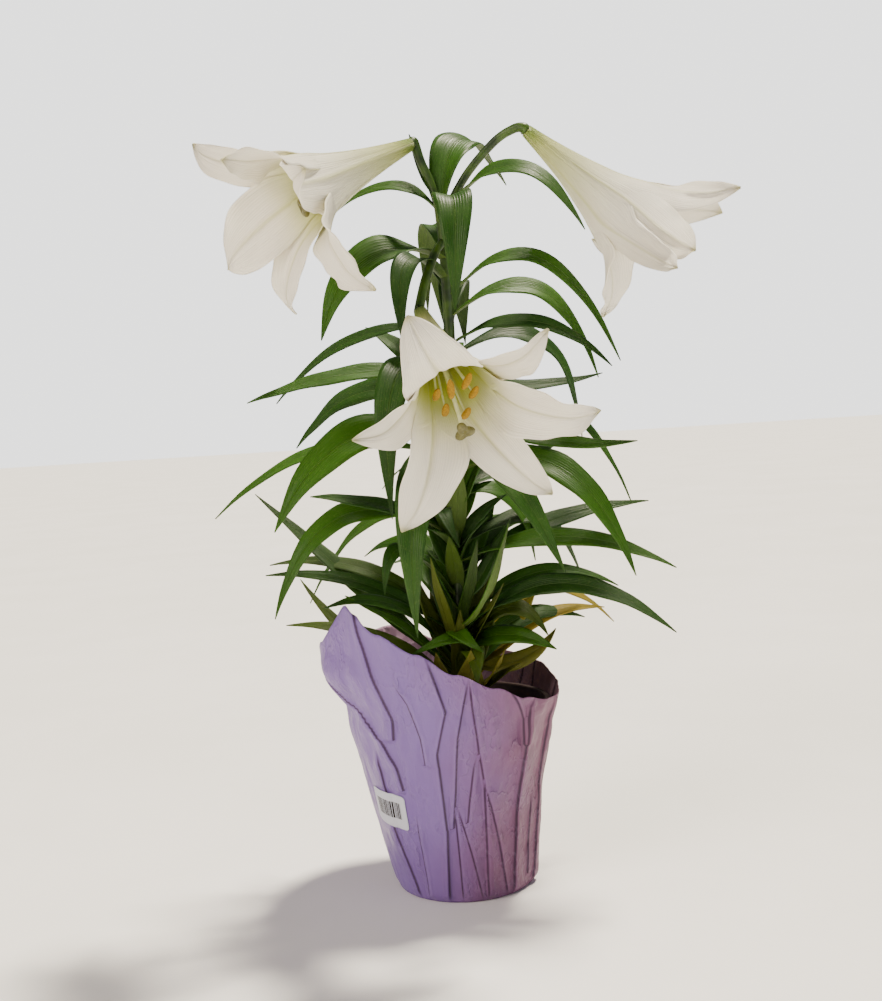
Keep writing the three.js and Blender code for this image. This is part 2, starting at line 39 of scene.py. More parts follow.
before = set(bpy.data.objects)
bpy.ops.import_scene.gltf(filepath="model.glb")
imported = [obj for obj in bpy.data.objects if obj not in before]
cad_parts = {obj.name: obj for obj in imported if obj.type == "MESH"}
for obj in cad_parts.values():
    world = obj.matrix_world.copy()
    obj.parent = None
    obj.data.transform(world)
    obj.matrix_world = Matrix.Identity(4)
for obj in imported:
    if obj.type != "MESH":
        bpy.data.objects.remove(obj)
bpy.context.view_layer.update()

MM = 0.001
TAU = 2 * math.pi

# The plant, in millimetres

STEM_LINE = [(0, 0, 85), (2, 0, 125), (7, 0, 250), (12, 0, 440), (11, 0, 528)]
STEM_BOTTOM, STEM_TOP, STALK_RADIUS = 5.2, 4.0, 3.2

# Leaves that the front view shows: height on the stem, crest, tip, width and age,
# which goes from 0, deep green, to 1, yellow
LEAVES = [
    (520, (-21, 5, 545), (-71, 15, 530), 12, 0.1),
    (524, (32, 30, 583), (67, 70, 553), 32, 0),
    (515, (64, -25, 549), (115, -45, 496), 17, 0.1),
    (512, (18, -35, 528), (16, -62, 440), 29, 0),
    (455, (58, -5, 485), (140, -20, 400), 16, 0),
    (440, (73, 10, 463), (126, 5, 389), 20, 0),
    (420, (66, -15, 435), (132, -30, 396), 15, 0),
    (410, (80, 25, 424), (115, 40, 342), 24, 0),
    (400, (68, 60, 388), (141, 90, 395), 16, 0),
    (370, (96, -5, 341), (154, 5, 338), 16, 0),
    (340, (85, 20, 370), (151, 30, 287), 14, 0),
    (305, (55, 40, 325), (103, 80, 340), 18, 0.1),
    (320, (76, -45, 328), (135, -75, 243), 25, 0),
    (240, (92, 30, 279), (168, 50, 287), 17, 0),
    (250, (91, -15, 268), (173, -30, 241), 18, 0),
    (335, (27, -44, 340), (83, -88, 250), 25, 0),
    (260, (80, 30, 278), (110, 45, 218), 18, 0.2),
    (200, (93, 20, 238), (136, 25, 222), 15, 0.1),
    (190, (84, -35, 235), (164, -65, 198), 20, 0),
    (165, (74, 40, 224), (137, 70, 185), 18, 0.7),
    (140, (76, 30, 201), (127, 50, 201), 16, 0.8),
    (175, (57, -20, 214), (73, -30, 195), 18, 0.3),
    (180, (51, -35, 197), (77, -50, 188), 20, 0.1),
    (170, (60, 0, 175), (83, 15, 192), 16, 0.5),
    (130, (38, -30, 169), (50, -40, 177), 15, 0.4),
    (150, (16, -50, 187), (16, -70, 168), 20, 0.3),
    (170, (-3, -45, 199), (-31, -60, 192), 16, 0.1),
    (195, (11, -50, 199), (22, -60, 191), 15, 0.1),
    (200, (22, -45, 220), (46, -60, 285), 20, 0),
    (170, (48, 20, 196), (74, 30, 241), 15, 0.6),
    (485, (-32, -15, 494), (-83, -45, 427), 32, 0),
    (470, (-13, -35, 484), (-22, -60, 416), 20, 0.1),
    (430, (-38, 10, 436), (-128, 20, 384), 13, 0),
    (380, (-24, 35, 420), (-56, 60, 443), 19, 0),
    (400, (-61, -10, 403), (-145, -20, 385), 17, 0),
    (390, (-22, -60, 404), (-37, -95, 296), 27, 0.1),
    (365, (-49, 10, 390), (-114, 15, 348), 25, 0),
    (345, (-61, -45, 355), (-123, -75, 290), 35, 0),
    (330, (-76, 20, 348), (-185, 30, 295), 14, 0),
    (160, (-83, 25, 245), (-154, 45, 312), 16, 0.2),
    (260, (-44, -55, 302), (-94, -90, 315), 24, 0.1),
    (270, (-79, -35, 295), (-130, -55, 224), 22, 0),
    (195, (-95, 30, 255), (-146, 45, 253), 14, 0.25),
    (190, (-88, -10, 247), (-141, -15, 252), 14, 0.1),
    (280, (-49, 45, 289), (-118, 70, 216), 16, 0.2),
    (140, (-95, 35, 206), (-122, 45, 240), 14, 0.3),
    (160, (-56, -45, 232), (-91, -75, 233), 18, 0.1),
    (150, (-90, 20, 202), (-134, 30, 205), 14, 0.3),
    (330, (-16, -80, 325), (-24, -110, 214), 30, 0),
    (240, (-38, 40, 268), (-69, 60, 254), 18, 0.1),
    (220, (-43, -45, 263), (-48, -55, 237), 16, 0),
    (160, (-42, -40, 214), (-77, -60, 239), 16, 0.2),
    (260, (0, -60, 294), (9, -75, 271), 14, 0),
    (300, (37, 10, 306), (70, 20, 247), 18, 0),
    (526, (0, 6, 555), (-10, 14, 586), 9, 0.1),
    (132, (10, -42, 164), (13, -60, 193), 29, 0.5),
    (132, (-8, -40, 160), (-13, -56, 192), 25, 0.5),
    (134, (27, -30, 165), (38, -48, 188), 21, 0.55),
]

# Leaves on the far side, and short upright ones round the lower stem, set by the stem's spiral.
# A pair runs from the lowest leaf to the highest, and a swing is how far and how fast a measure varies
SPIRAL = 137.5
BACK_LEAVES = {
    "count": 14,
    "old_share": 0,
    "start": 0,
    "spread": (68, 12),
    "height": (145, 490),
    "reach": (115, 70),
    "crest_at": 0.55,
    "crest": (58, 22),
    "tip": (50, -33),
    "width": 20,
    "swings": {"reach": (14, 5), "crest": (8, 3), "tip": (-14, 2), "width": (4, 7)},
}
INNER_LEAVES = {
    "count": 30,
    "old_share": 0.3,
    "start": 90,
    "spread": (180, 180),
    "height": (138, 300),
    "reach": (34, 34),
    "crest_at": 0.6,
    "crest": (46, 34),
    "tip": (82, 46),
    "width": 15,
    "swings": {"reach": (12, 4), "crest": (0, 0), "tip": (10, 2), "width": (3, 5)},
}
FRESH, AGED = 0.1, 0.35

# A blade's channel and turn of the face in degrees, and its waves as a share of its width and a length
FOLD_AT_STEM, FOLD_AT_TIP, FACE_TURN = 20, 6, 48
WAVE_HEIGHT, WAVE_SPAN = 0.035, 150

# Six petals each, wide inner and narrow outer ones in turn: flare and turn of the face in degrees,
# sway and hook in millimetres; what a petal doesn't give comes from PETAL
PETAL = {"breadth": 1, "turn": 0, "curl": 1.3, "hook": 5}
BLOOMS = {
    "left": {
        "base": (-9, 0, 575),
        "axis": (-0.779, -0.485, -0.397),
        "length": 184,
        "phase": 25,
        "petals": [
            {"flare": 19, "sway": 32, "breadth": 1.1, "turn": 60},
            {"flare": 80, "sway": -5, "breadth": 1.35, "hook": 8},
            {"flare": 96, "sway": -12, "curl": 0.6},
            {"flare": 125, "sway": 16, "breadth": 1.3, "hook": 0},
            {"flare": 87, "sway": -22, "breadth": 1.2},
            {"flare": 100, "sway": -19, "breadth": 1.1, "turn": 25},
        ],
        "stalk": [(11, 0, 518), (6, 3, 540), (-2, 2, 562)],
        "anthers": 82,
        "style": 106,
    },
    "right": {
        "base": (80, 0, 580),
        "axis": (0.736, 0.166, -0.656),
        "length": 172,
        "phase": 33,
        "petals": [
            {"flare": 14, "sway": -27, "breadth": 1.2, "turn": -20},
            {"flare": 130, "sway": -5},
            {"flare": 68, "sway": -22, "breadth": 1.3, "turn": 50, "curl": 1.8},
            {"flare": 78, "sway": 56, "breadth": 1.1},
            {"flare": 71, "sway": -21},
            {"flare": 52, "sway": -10, "breadth": 1.3, "turn": 50},
        ],
        "stalk": [(11, 0, 516), (32, 5, 550), (55, 5, 574), (70, 1, 582)],
        "anthers": 96,
        "style": 118,
    },
    "front": {
        "base": (-9, -42, 444),
        "axis": (0.209, -0.743, -0.636),
        "length": 185,
        "phase": 328,
        "petals": [
            {"flare": 108, "sway": 2, "breadth": 1.25, "hook": 16},
            {"flare": 80, "sway": -7, "breadth": 1.15},
            {"flare": 110, "sway": 1, "breadth": 0.9},
            {"flare": 94, "sway": -26, "breadth": 1.25},
            {"flare": 85, "sway": -4, "breadth": 1.12},
            {"flare": 60, "sway": 16, "breadth": 1.35},
        ],
        "stalk": [(11, 0, 500), (5, -18, 490), (-4, -32, 468)],
        "anthers": 104,
        "style": 128,
    },
}
BASE_RADIUS, BASE_ANGLE, THROAT_ANGLE, THROAT = 4.5, 8.5, 21, 0.5
INNER_HALF, OUTER_HALF = 23, 15.5

# Half width, depth and length of an anther, how far out it stands, and the stigma's radius and rise
ANTHER, ANTHER_OUT = (2.7, 2.3, 7), 13
STIGMA_RADIUS, STIGMA_RISE, STYLE_BEND = 6.2, 3.4, 10

# The pot and its soil
POT_FLOOR, POT_HEIGHT, POT_BASE, POT_TOP, POT_RIM, POT_WALL = 1.3, 140, 52, 71, 74.3, 1.4
RIM_HEIGHT, SOIL_TOP, SOIL_DIP, STEM_HOLE = 12, 124, 3, 7.5
CRUMBS, PERLITE_EVERY = 420, 12

# The wrapper: its radii and heights, its gap to the pot, and its rim as (azimuth, radius, height)
COVER_BASE, COVER_NECK, COVER_LEAN, NECK_HEIGHT = 55, 82, 3.5, 138
COVER_FLOOR, FLOOR_TUCK, POT_GAP, POT_SHOULDER = 0.3, 1.5, 0.8, (118, 128)
RIM = [
    (215, 102, 231), (235, 98, 212), (252, 91, 197), (270, 88, 181), (290, 85, 168),
    (307, 84, 157), (325, 83, 151), (345, 82, 150), (365, 83, 152), (395, 84, 160),
    (420, 86, 166), (450, 89, 172), (485, 97, 192), (510, 100, 184), (535, 103, 182),
    (555, 105, 200), (575, 102, 231),
]

# Lapped folds of the film as (depth, line of (azimuth, height)); a positive one laps to the right
FOLDS = [
    (-2.6, [(219, 240), (228, 190), (235, 147), (234, 130)]),
    (-2.6, [(190, 176), (198, 162), (213, 145), (225, 130), (233, 108), (235, 90)]),
    (-1.8, [(220, 122), (220, 88), (219, 57), (230, 0)]),
    (1.6, [(240, 176), (246, 160), (251, 135), (252, 112)]),
    (-2.4, [(256, 196), (262, 165), (264, 154), (258, 122), (259, 60), (255, 0)]),
    (-1.7, [(276, 178), (269, 134), (266, 92), (263, 62)]),
    (2.0, [(277, 178), (278, 156), (281, 120), (284, 96), (287, 0)]),
    (1.1, [(280, 118), (278, 109), (273, 66)]),
    (1.6, [(283, 100), (284, 94), (292, 59), (304, 0)]),
    (1.4, [(267, 80), (268, 75), (283, 0)]),
    (2.6, [(316, 156), (312, 148), (311, 100), (309, 32), (309, 0)]),
    (1.6, [(288, 176), (298, 166), (309, 140), (310, 120)]),
    (1.6, [(328, 78), (327, 60), (326, 10)]),
    (1.3, [(241, 72), (241, 60), (240, 5)]),
    (1.1, [(265, 80), (266, 60), (267, 0)]),
    (1.8, [(332, 150), (336, 126), (338, 60), (336, 0)]),
]
BACK_FOLDS = 13

# In millimetres: how far a fold's raised side fades, its ends open and it is felt, and its step
FOLD_FADE, FOLD_END, FOLD_REACH, FOLD_STEP = 24, 12, 30, (-2.6, 0.5)

# Where the film swells out or is pinched in: azimuth, height, reach each way and depth
SWELLS = [
    (203, 176, 22, 15, 9),
    (205, 236, 30, 24, -8),
    (200, 146, 24, 8, -3),
    (198, 70, 55, 50, 1.5),
    (336, 146, 14, 12, 4.5),
    (345, 72, 60, 52, -5),
]

LABEL = {"width": 35, "height": 28, "azimuth": 219.5, "middle": 73.5, "tilt": 6, "corner": 3.2}

# Viewpoint of the picture: focal length in pixels of a frame 1001 high, place and angles
FOCAL, FRAME_HEIGHT, SENSOR = 1200, 1001, 36
CAMERA_PLACE = (0, -0.935, 0.363)
YAW, PITCH, ROLL = -0.148, 3.804, 3.5

# Lamps as name, kind, place, power, colour and spread, which is degrees for a sun and metres for an area
LAMPS = [
    ("key", "SUN", (0.4, 0.3, 1.7), 7.4, (255, 243, 220), 8),
    ("side", "SUN", (-0.9, -0.8, 1.0), 1.7, (255, 240, 226), 30),
    ("fill", "AREA", (1.2, -1.1, 0.6), 3, (224, 232, 255), 1.2),
    ("window", "AREA", (-1.3, -1.2, 0.7), 6, (255, 230, 206), 1.0),
]
LAMPS_FACE = Vector((0, 0, 0.3))


# Small sums


def mix(a, b, share):
    return a + (b - a) * share


def smooth(value, low, high):
    share = min(max((value - low) / (high - low), 0), 1)
    return share * share * (3 - 2 * share)


def rise_and_fall(value, low, high, falling, gone):
    return smooth(value, low, high) * (1 - smooth(value, falling, gone))


def bell(value):
    return math.exp(-(value**2))


def apart(azimuth, other):
    """How far an azimuth is past another one, from -180 to 180 degrees"""
    return (azimuth - other + 180) % 360 - 180


def around(azimuth, radius, height):
    """The point at an azimuth in degrees round the pot's axis"""
    angle = math.radians(azimuth)
    return Vector((radius * math.cos(angle), radius * math.sin(angle), height))


def colour(*channels):
    """A display colour, 0 to 255 a channel, as linear light"""
    shares = [channel / 255 for channel in channels]
    return tuple(c / 12.92 if c <= 0.04045 else ((c + 0.055) / 1.055) ** 2.4 for c in shares)


def spline(points):
    """A smooth line through the points, as a function of a share from 0 to 1"""
    points = [Vector(p) for p in points]
    first, last = 2 * points[0] - points[1], 2 * points[-1] - points[-2]
    padded = [first, *points, last]
    spans = len(points) - 1

    def at(share):
        along = min(max(share, 0), 1) * spans
        i = min(int(along), spans - 1)
        t = along - i
        a, b, c, d = padded[i : i + 4]
        square, cube = 2 * a - 5 * b + 4 * c - d, 3 * b - a - 3 * c + d
        return 0.5 * (2 * b + (c - a) * t + square * t**2 + cube * t**3)

    return at


def tangent(line, share):
    step = 0.001
    return (line(min(share + step, 1)) - line(max(share - step, 0))).normalized()


# Meshes


def sheet_grid(bm, across, along, place):
    """A grid whose points go to place(u, s): u runs from -1 to 1 across it and s from 0 to 1 along it"""
    if not bm.loops.layers.uv:
        bm.loops.layers.uv.new("UVMap")
    made = bmesh.ops.create_grid(bm, x_segments=across, y_segments=along, size=1, calc_uvs=True)
    for vert in made["verts"]:
        vert.co = Vector(place(vert.co.x, (vert.co.y + 1) / 2)) * MM
    return made["verts"]


def tube(bm, line, radius, sides, steps):
    """A shoot round a line, closed at both ends; radius(s, angle) is a function of share and angle"""

    def place(u, s):
        along = tangent(line, s)
        side = Vector((0, 1, 0.01)).cross(along).normalized()
        front = along.cross(side)
        angle = math.pi * u
        return line(s) + radius(s, angle) * (math.cos(angle) * side + math.sin(angle) * front)

    verts = sheet_grid(bm, sides, steps, place)
    bmesh.ops.remove_doubles(bm, verts=verts, dist=1e-6)
    ends = {edge for vert in verts if vert.is_valid for edge in vert.link_edges if edge.is_boundary}
    bmesh.ops.holes_fill(bm, edges=list(ends), sides=0)


def ball(bm, rings, segments, place):
    """A closed round form, its unit points sent through place"""
    made = bmesh.ops.create_uvsphere(bm, u_segments=segments, v_segments=rings, radius=1)
    for vert in made["verts"]:
        vert.co = Vector(place(vert.co.copy())) * MM
    return made["verts"]


def set_material(verts, index):
    for face in {face for vert in verts for face in vert.link_faces}:
        face.material_index = index


def make_object(name, bm, materials):
    mesh = bpy.data.meshes.new(name)
    bm.to_mesh(mesh)
    bm.free()
    for material in materials:
        mesh.materials.append(material)
    made = bpy.data.objects.new(name, mesh)
    bpy.context.scene.collection.objects.link(made)
    return made


def dress(node, material):
    """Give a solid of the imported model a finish"""
    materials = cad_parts[node].data.materials
    materials.clear()
    materials.append(material)


def make_piece(name, bm, materials, replaced=(), thickness=0.0):
    """A finished object from a bmesh, riding on the part's one body"""
    for face in bm.faces:
        face.smooth = True
    piece = make_object(name, bm, materials)
    if thickness:
        wall = piece.modifiers.new("Thickness", "SOLIDIFY")
        wall.thickness = thickness
        wall.offset = 0
        wall.use_rim = True
        wall.material_offset = 1
    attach(piece, "root")
    if replaced:
        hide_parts(*replaced)
    return piece


# Finishes


class Wire:
    """A socket in a material's tree; an expression on wires adds the Math nodes it needs"""

    def __init__(self, finish, socket):
        self.finish = finish
        self.socket = socket

    def math(self, operation, *values):
        """The operation on the values, or on this wire where none are given"""
        inputs = dict(enumerate(values or [self]))
        return self.finish.node("ShaderNodeMath", {"operation": operation}, inputs)

    def __add__(self, other):
        return self.math("ADD", self, other)

    def __sub__(self, other):
        return self.math("SUBTRACT", self, other)

    def __rsub__(self, other):
        return self.math("SUBTRACT", other, self)

    def __mul__(self, other):
        return self.math("MULTIPLY", self, other)

    __radd__ = __add__
    __rmul__ = __mul__


class Finish:
    """A material round one Principled shader"""

    def __init__(self, name, **constants):
        self.material = bpy.data.materials.new(name)
        self.material.use_nodes = True
        self.tree = self.material.node_tree
        self.shader = self.tree.nodes["Principled BSDF"]
        for socket, value in constants.items():
            self.shader.inputs[socket.replace("_", " ")].default_value = value

    def node(self, kind, settings=None, inputs=None, output=0):
        """A new node with its settings made first, then its sockets' values or links"""
        node = self.tree.nodes.new(kind)
        for key, value in (settings or {}).items():
            setattr(node, key, value)
        for key, value in (inputs or {}).items():
            if isinstance(value, Wire):
                self.tree.links.new(value.socket, node.inputs[key])
            elif node.inputs[key].type == "RGBA":
                node.inputs[key].default_value = (*value, 1)
            else:
                node.inputs[key].default_value = value
        return Wire(self, node.outputs[output])

    def feed(self, socket, wire):
        self.tree.links.new(wire.socket, self.shader.inputs[socket])

    def across_and_along(self):
        """Share across and along the piece, from its own UV map"""
        uv = self.node("ShaderNodeUVMap", {"uv_map": "UVMap"})
        return [self.node("ShaderNodeSeparateXYZ", inputs={0: uv}, output=axis) for axis in (0, 1)]

    def place(self, scale=(1, 1, 1)):
        """The point on the object, stretched by a scale"""
        point = self.node("ShaderNodeTexCoord", output=3)
        return self.node("ShaderNodeMapping", inputs={0: point, 3: scale})

    def uv_place(self, scale):
        uv = self.node("ShaderNodeUVMap", {"uv_map": "UVMap"})
        return self.node("ShaderNodeMapping", inputs={0: uv, 3: scale})

    def noise(self, place, scale, detail=3, roughness=0.5):
        inputs = {"Vector": place, "Scale": scale, "Detail": detail, "Roughness": roughness}
        return self.node("ShaderNodeTexNoise", inputs=inputs)

    def attribute(self, name):
        return self.node("ShaderNodeAttribute", {"attribute_name": name}, output=2)

    def span(self, value, low, high, to_low=0.0, to_high=1.0):
        """A value carried from one range to another, eased and held at its ends"""
        return self.node(
            "ShaderNodeMapRange",
            {"interpolation_type": "SMOOTHSTEP"},
            {"Value": value, "From Min": low, "From Max": high, "To Min": to_low, "To Max": to_high},
        )

    def blend(self, factor, first, second):
        return self.node("ShaderNodeMix", {"data_type": "RGBA"}, {0: factor, 6: first, 7: second}, output=2)

    def coats(self, base, *coats):
        """A base colour with coats over it in turn, each a mask and a colour"""
        for mask, shade in coats:
            base = self.blend(mask, base, shade)
        self.feed("Base Color", base)

    def bump(self, height, distance):
        """A relief of a height from 0 to 1, that deep in metres"""
        self.feed("Normal", self.node("ShaderNodeBump", inputs={"Distance": distance, "Height": height}))


def leaf_finish(name, green, pale, rough, vein_depth):
    """Waxy blade: long parallel veins, a sunken midrib, and old leaves turned yellow"""
    finish = Finish(name, IOR=1.45, Specular_IOR_Level=0.3)
    across, along = finish.across_and_along()
    patches = finish.noise(finish.place(), 38, 4)
    streaks = finish.noise(finish.uv_place((26, 1.6, 1)), 1.0, 4, 0.6)
    flecks = finish.noise(finish.place(), 900, 2)
    rib = finish.span((across - 0.5).math("ABSOLUTE"), 0.006, 0.035, 1, 0)
    veins = (across * 84).math("SINE") * 0.5 + 0.5
    tone = patches * 0.5 + finish.attribute("tone") * 0.5 + streaks * 0.4
    old = finish.blend(streaks, colour(176, 142, 44), colour(106, 108, 26))
    finish.coats(
        green,
        (finish.span(tone, 0.35, 1.05), pale),
        (finish.span(finish.attribute("age"), 0.15, 0.9), old),
        (finish.span(along, 0, 0.1, 0.35, 0), colour(104, 126, 48)),
        (rib * 0.14, colour(96, 124, 48)),
        (veins * 0.06, colour(80, 112, 36)),
        (finish.span(flecks, 0.58, 0.72, 0, 0.16), colour(130, 140, 84)),
    )
    finish.feed("Roughness", finish.span(patches + streaks, 0.5, 1.4, rough - 0.08, rough + 0.14))
    finish.bump(veins * 0.3 + streaks * 0.8 - rib * 0.9, vein_depth)
    return finish.material


def petal_finish(name, inside):
    """Satin petal: green-yellow throat or tube, fine lengthwise veins and a groove down its middle"""
    finish = Finish(name, IOR=1.4, Subsurface_Weight=0.1, Subsurface_Scale=0.003, Specular_IOR_Level=0.35)
    finish.shader.inputs["Subsurface Radius"].default_value = (1.0, 0.85, 0.6)
    across, along = finish.across_and_along()
    streaks = finish.noise(finish.uv_place((34, 1.1, 1)), 1.0, 5, 0.62)
    clouds = finish.noise(finish.place(), 24, 3)
    veins = (across * 190 + streaks * 9).math("SINE") * 0.5 + 0.5
    rib = finish.span((across - 0.5).math("ABSOLUTE"), 0.01, 0.1, 1, 0)
    if inside:
        tints = [
            (finish.span(along + clouds * 0.1, 0.44, 0.76, 1, 0), colour(188, 196, 76)),
            (rib * finish.span(along, 0.4, 0.95, 0.75, 0.2), colour(206, 210, 138)),
        ]
    else:
        tints = [
            (finish.span(along + streaks * 0.16, 0.04, 0.72, 1, 0), colour(182, 191, 98)),
            (finish.span(along, 0, 0.12, 0.9, 0), colour(122, 150, 56)),
            (rib * finish.span(along, 0.1, 0.95, 0.75, 0.25), colour(206, 210, 136)),
        ]
    finish.coats(
        colour(253, 247, 231),
        (clouds, colour(236, 231, 217)),
        *tints,
        (finish.span(along, 0.955, 1, 0, 0.6), colour(206, 204, 120)),
        (finish.span(veins + streaks * 0.8, 0.7, 1.5) * 0.18, colour(186, 186, 170)),
    )
    finish.feed("Roughness", finish.span(streaks, 0.3, 0.8, 0.4, 0.56))
    finish.bump(veins * 0.22 + streaks * 1.3 - rib * 0.6, 0.0009)
    return finish.material


def plain_finish(name, dark, light, scale, rough, depth, **constants):
    """Mottled matt matter: a noise runs between two colours and also raises the surface"""
    finish = Finish(name, **constants)
    mottle = finish.noise(finish.place(), scale, 4, 0.6)
    grain = finish.noise(finish.place(), scale * 6, 3, 0.6)
    finish.coats(dark, (finish.span(mottle, 0.3, 0.7), light))
    finish.feed("Roughness", finish.span(grain, 0.2, 0.8, rough - 0.08, rough + 0.08))
    finish.bump(mottle * 0.6 + grain * 0.5, depth)
    return finish.material


def cover_finish(name, tint, deep, line):
    """Satin film: lapped folds with a painted shadow line under each lap and a painted highlight on its
    edge, patches of crinkles with painted highlights along their creases, and painted shade, darker and
    rosier, to the right
    """
    finish = Finish(name, IOR=1.46, Specular_IOR_Level=0.22)
    fold = finish.attribute("fold")
    close = finish.attribute("close")
    rightward_for_shade = finish.node("ShaderNodeSeparateXYZ", inputs={0: finish.place()})
    broad = finish.noise(finish.place(), 9, 3)
    patches = finish.span(finish.noise(finish.place((1, 1, 0.6)), 17, 2), 0.36, 0.58)
    crinkles = finish.noise(finish.place((1.5, 1.5, 0.8)), 52, 3, 0.55)
    fine = finish.noise(finish.place((1, 1, 0.7)), 190, 3, 0.55)
    # crease lines of the crinkles: they raise the bump and carry a painted highlight
    creased = finish.span((crinkles - 0.5).math("ABSOLUTE"), 0, 0.05, 1, 0) * patches
    squeezed = finish.place((1.5, 1.5, 0.6))
    facets = finish.node("ShaderNodeTexVoronoi", inputs={"Vector": squeezed, "Scale": 62.0})
    lap = finish.span(fold, -0.3, 0.3)
    # painted shadow: a dark line just under each lap's edge, where the raised film shades the film beneath
    under = finish.span(fold, -1.9, -0.8) * finish.span(fold, -0.4, 0.2, 1, 0) * close
    # painted highlight: a light band along each lap's raised edge
    lit = finish.span(fold, 0.2, 0.6) * finish.span(fold, 0.6, 2.4, 1, 0) * close
    finish.coats(
        tint,
        # deep paints shade: the film turns darker and rosier towards the right, standing in for shade and
        # warm reflected light there
        (finish.span(broad * 0.12 + rightward_for_shade, 0.01, 0.13), deep),
        # painted shadow line under each lap
        (under * 0.88, line),
        # painted highlight on the lap edges and along the crinkles' creases
        (lit * 0.06 + creased * 0.06, colour(176, 158, 196)),
    )
    finish.feed("Roughness", finish.span(fine + broad, 0.6, 1.4, 0.34, 0.52))
    crumpled = (crinkles * 1.6 + facets * 0.9) * (patches * 0.85 + 0.15)
    finish.bump(lap * close * 0.25 + creased * 0.2 + crumpled + fine * 0.12, 0.0022)
    return finish.material


def label_finish(name):
    """White paper with a block of plain upright bars"""
    finish = Finish(name, Roughness=0.6, Specular_IOR_Level=0.2)
    across, along = finish.across_and_along()
    stripes = (across * 150).math("SINE") + (across * 262).math("SINE") * 0.7
    bars = finish.span(stripes, -0.5, -0.3)
    for share, start, end in ((across, 0.15, 0.85), (along, 0.28, 0.77)):
        bars = bars * finish.span(share, start, start + 0.01) * finish.span(share, end - 0.01, end, 1, 0)
    paper = finish.noise(finish.place(), 900, 3)
    finish.coats(colour(206, 210, 222), (paper, colour(190, 194, 210)), (bars, colour(22, 20, 26)))
    finish.bump(paper, 0.00004)
    return finish.material


# Stem and leaves

stem_line = spline(STEM_LINE)


def stem_point(height):
    low, high = 0.0, 1.0
    for _ in range(24):
        middle = (low + high) / 2
        if stem_line(middle).z < height:
            low = middle
        else:
            high = middle
    return stem_line(low)


def arc_through(start, middle, end):
    """A parabola's arc from start to end that passes through a middle point"""
    first = (middle - start).length
    t = first / (first + (end - middle).length)
    control = (middle - start * (1 - t) ** 2 - end * t**2) / (2 * t * (1 - t))

    def at(s):
        return start * (1 - s) ** 2 + control * (2 * s * (1 - s)) + end * s**2

    return at


def leaf_half_width(s, width):
    """Narrow where it clasps the stem, widest at two fifths, drawn out to its tip"""
    widest = 0.4
    rise = 0.3 + 0.7 * math.sin(min(s / widest, 1) * math.pi / 2)
    fall = math.cos(max(s - widest, 0) / (1 - widest) * math.pi / 2)
    return width / 2 * rise * fall + 0.25


def ruled_leaves(rule):
    """Leaves up the stem by a rule, each a little unlike the last"""
    pairs = ("height", "spread", "reach", "crest", "tip")
    for i in range(rule["count"]):
        share = i / (rule["count"] - 1)
        height, spread, reach, rise, end = (mix(*rule[pair], share) for pair in pairs)
        swing = {key: far * math.sin(fast * i) for key, (far, fast) in rule["swings"].items()}
        turned = (i * SPIRAL + rule["start"]) % 360
        out = around(90 + spread * (turned / 180 - 1), reach + swing["reach"], 0)
        root = stem_point(height)
        crest, tip = root + out * rule["crest_at"], root + out
        crest.z = height + rise + swing["crest"]
        tip.z = height + end + swing["crest"] + swing["tip"]
        age = FRESH if share >= rule["old_share"] else AGED
        yield height, crest, tip, rule["width"] + swing["width"], age


def grow_leaf(bm, leaf, draw):
    """One blade, channelled along its midrib, its edges a little waved"""
    height, crest, tip, width, age = leaf
    root, crest, tip = stem_point(height), Vector(crest), Vector(tip)
    spine = arc_through(root, crest, tip)
    heading = tip - root
    heading.z = 0
    heading.normalize()
    level = Vector((heading.y, -heading.x, 0))
    waves = draw.uniform(2.2, 3.6)
    start = draw.uniform(0, TAU)
    tone = draw.uniform(0, 1)
    length = (crest - root).length + (tip - crest).length

    def place(u, s):
        along = tangent(spine, s)
        side = (level - along * level.dot(along)).normalized()
        turn = math.radians(FACE_TURN) * heading.x * smooth(s, 0, 0.4)
        side = Quaternion(along, turn) @ side
        up = side.cross(along)
        fold = math.radians(mix(FOLD_AT_STEM, FOLD_AT_TIP, s))
        half = leaf_half_width(s, width)
        channel = math.sqrt(u * u + 0.012) - 0.11
        roll = -0.12 * u**4 * smooth(s, 0.1, 0.5)
        phase = TAU * waves * s * length / WAVE_SPAN + start + (0.9 if u > 0 else 0)
        wave = WAVE_HEIGHT * width * u * u * math.sin(phase) * rise_and_fall(s, 0.08, 0.3, 0.85, 1)
        lift = half * (channel * math.sin(fold) * 1.15 + roll) + wave
        return spine(s) + side * (u * half * math.cos(fold)) + up * lift

    verts = sheet_grid(bm, 8, 26, place)
    tones = bm.verts.layers.float["tone"]
    ages = bm.verts.layers.float["age"]
    for vert in verts:
        vert[tones] = tone
        vert[ages] = age


# Blooms


def petal_profile(s, length, flare, curl):
    """Distance along the axis, radius and angle of a petal's middle line, a share s along it"""
    steps = 40
    reach, radius, angle = 0.0, BASE_RADIUS, 0.0
    for i in range(steps):
        at = s * (i + 0.5) / steps
        tube_angle = BASE_ANGLE + (THROAT_ANGLE - BASE_ANGLE) * min(at / THROAT, 1) ** 2
        opened = (flare - THROAT_ANGLE) * (max(at - THROAT, 0) / (1 - THROAT)) ** curl
        angle = math.radians(tube_angle + opened)
        reach += math.cos(angle) * length * s / steps
        radius += math.sin(angle) * length * s / steps
    return reach, radius, angle


def flower_axes(flower):
    forward = Vector(flower["axis"]).normalized()
    up = (Vector((0, 0, 1)) - forward * forward.z).normalized()
    return Vector(flower["base"]), forward, up, up.cross(forward)


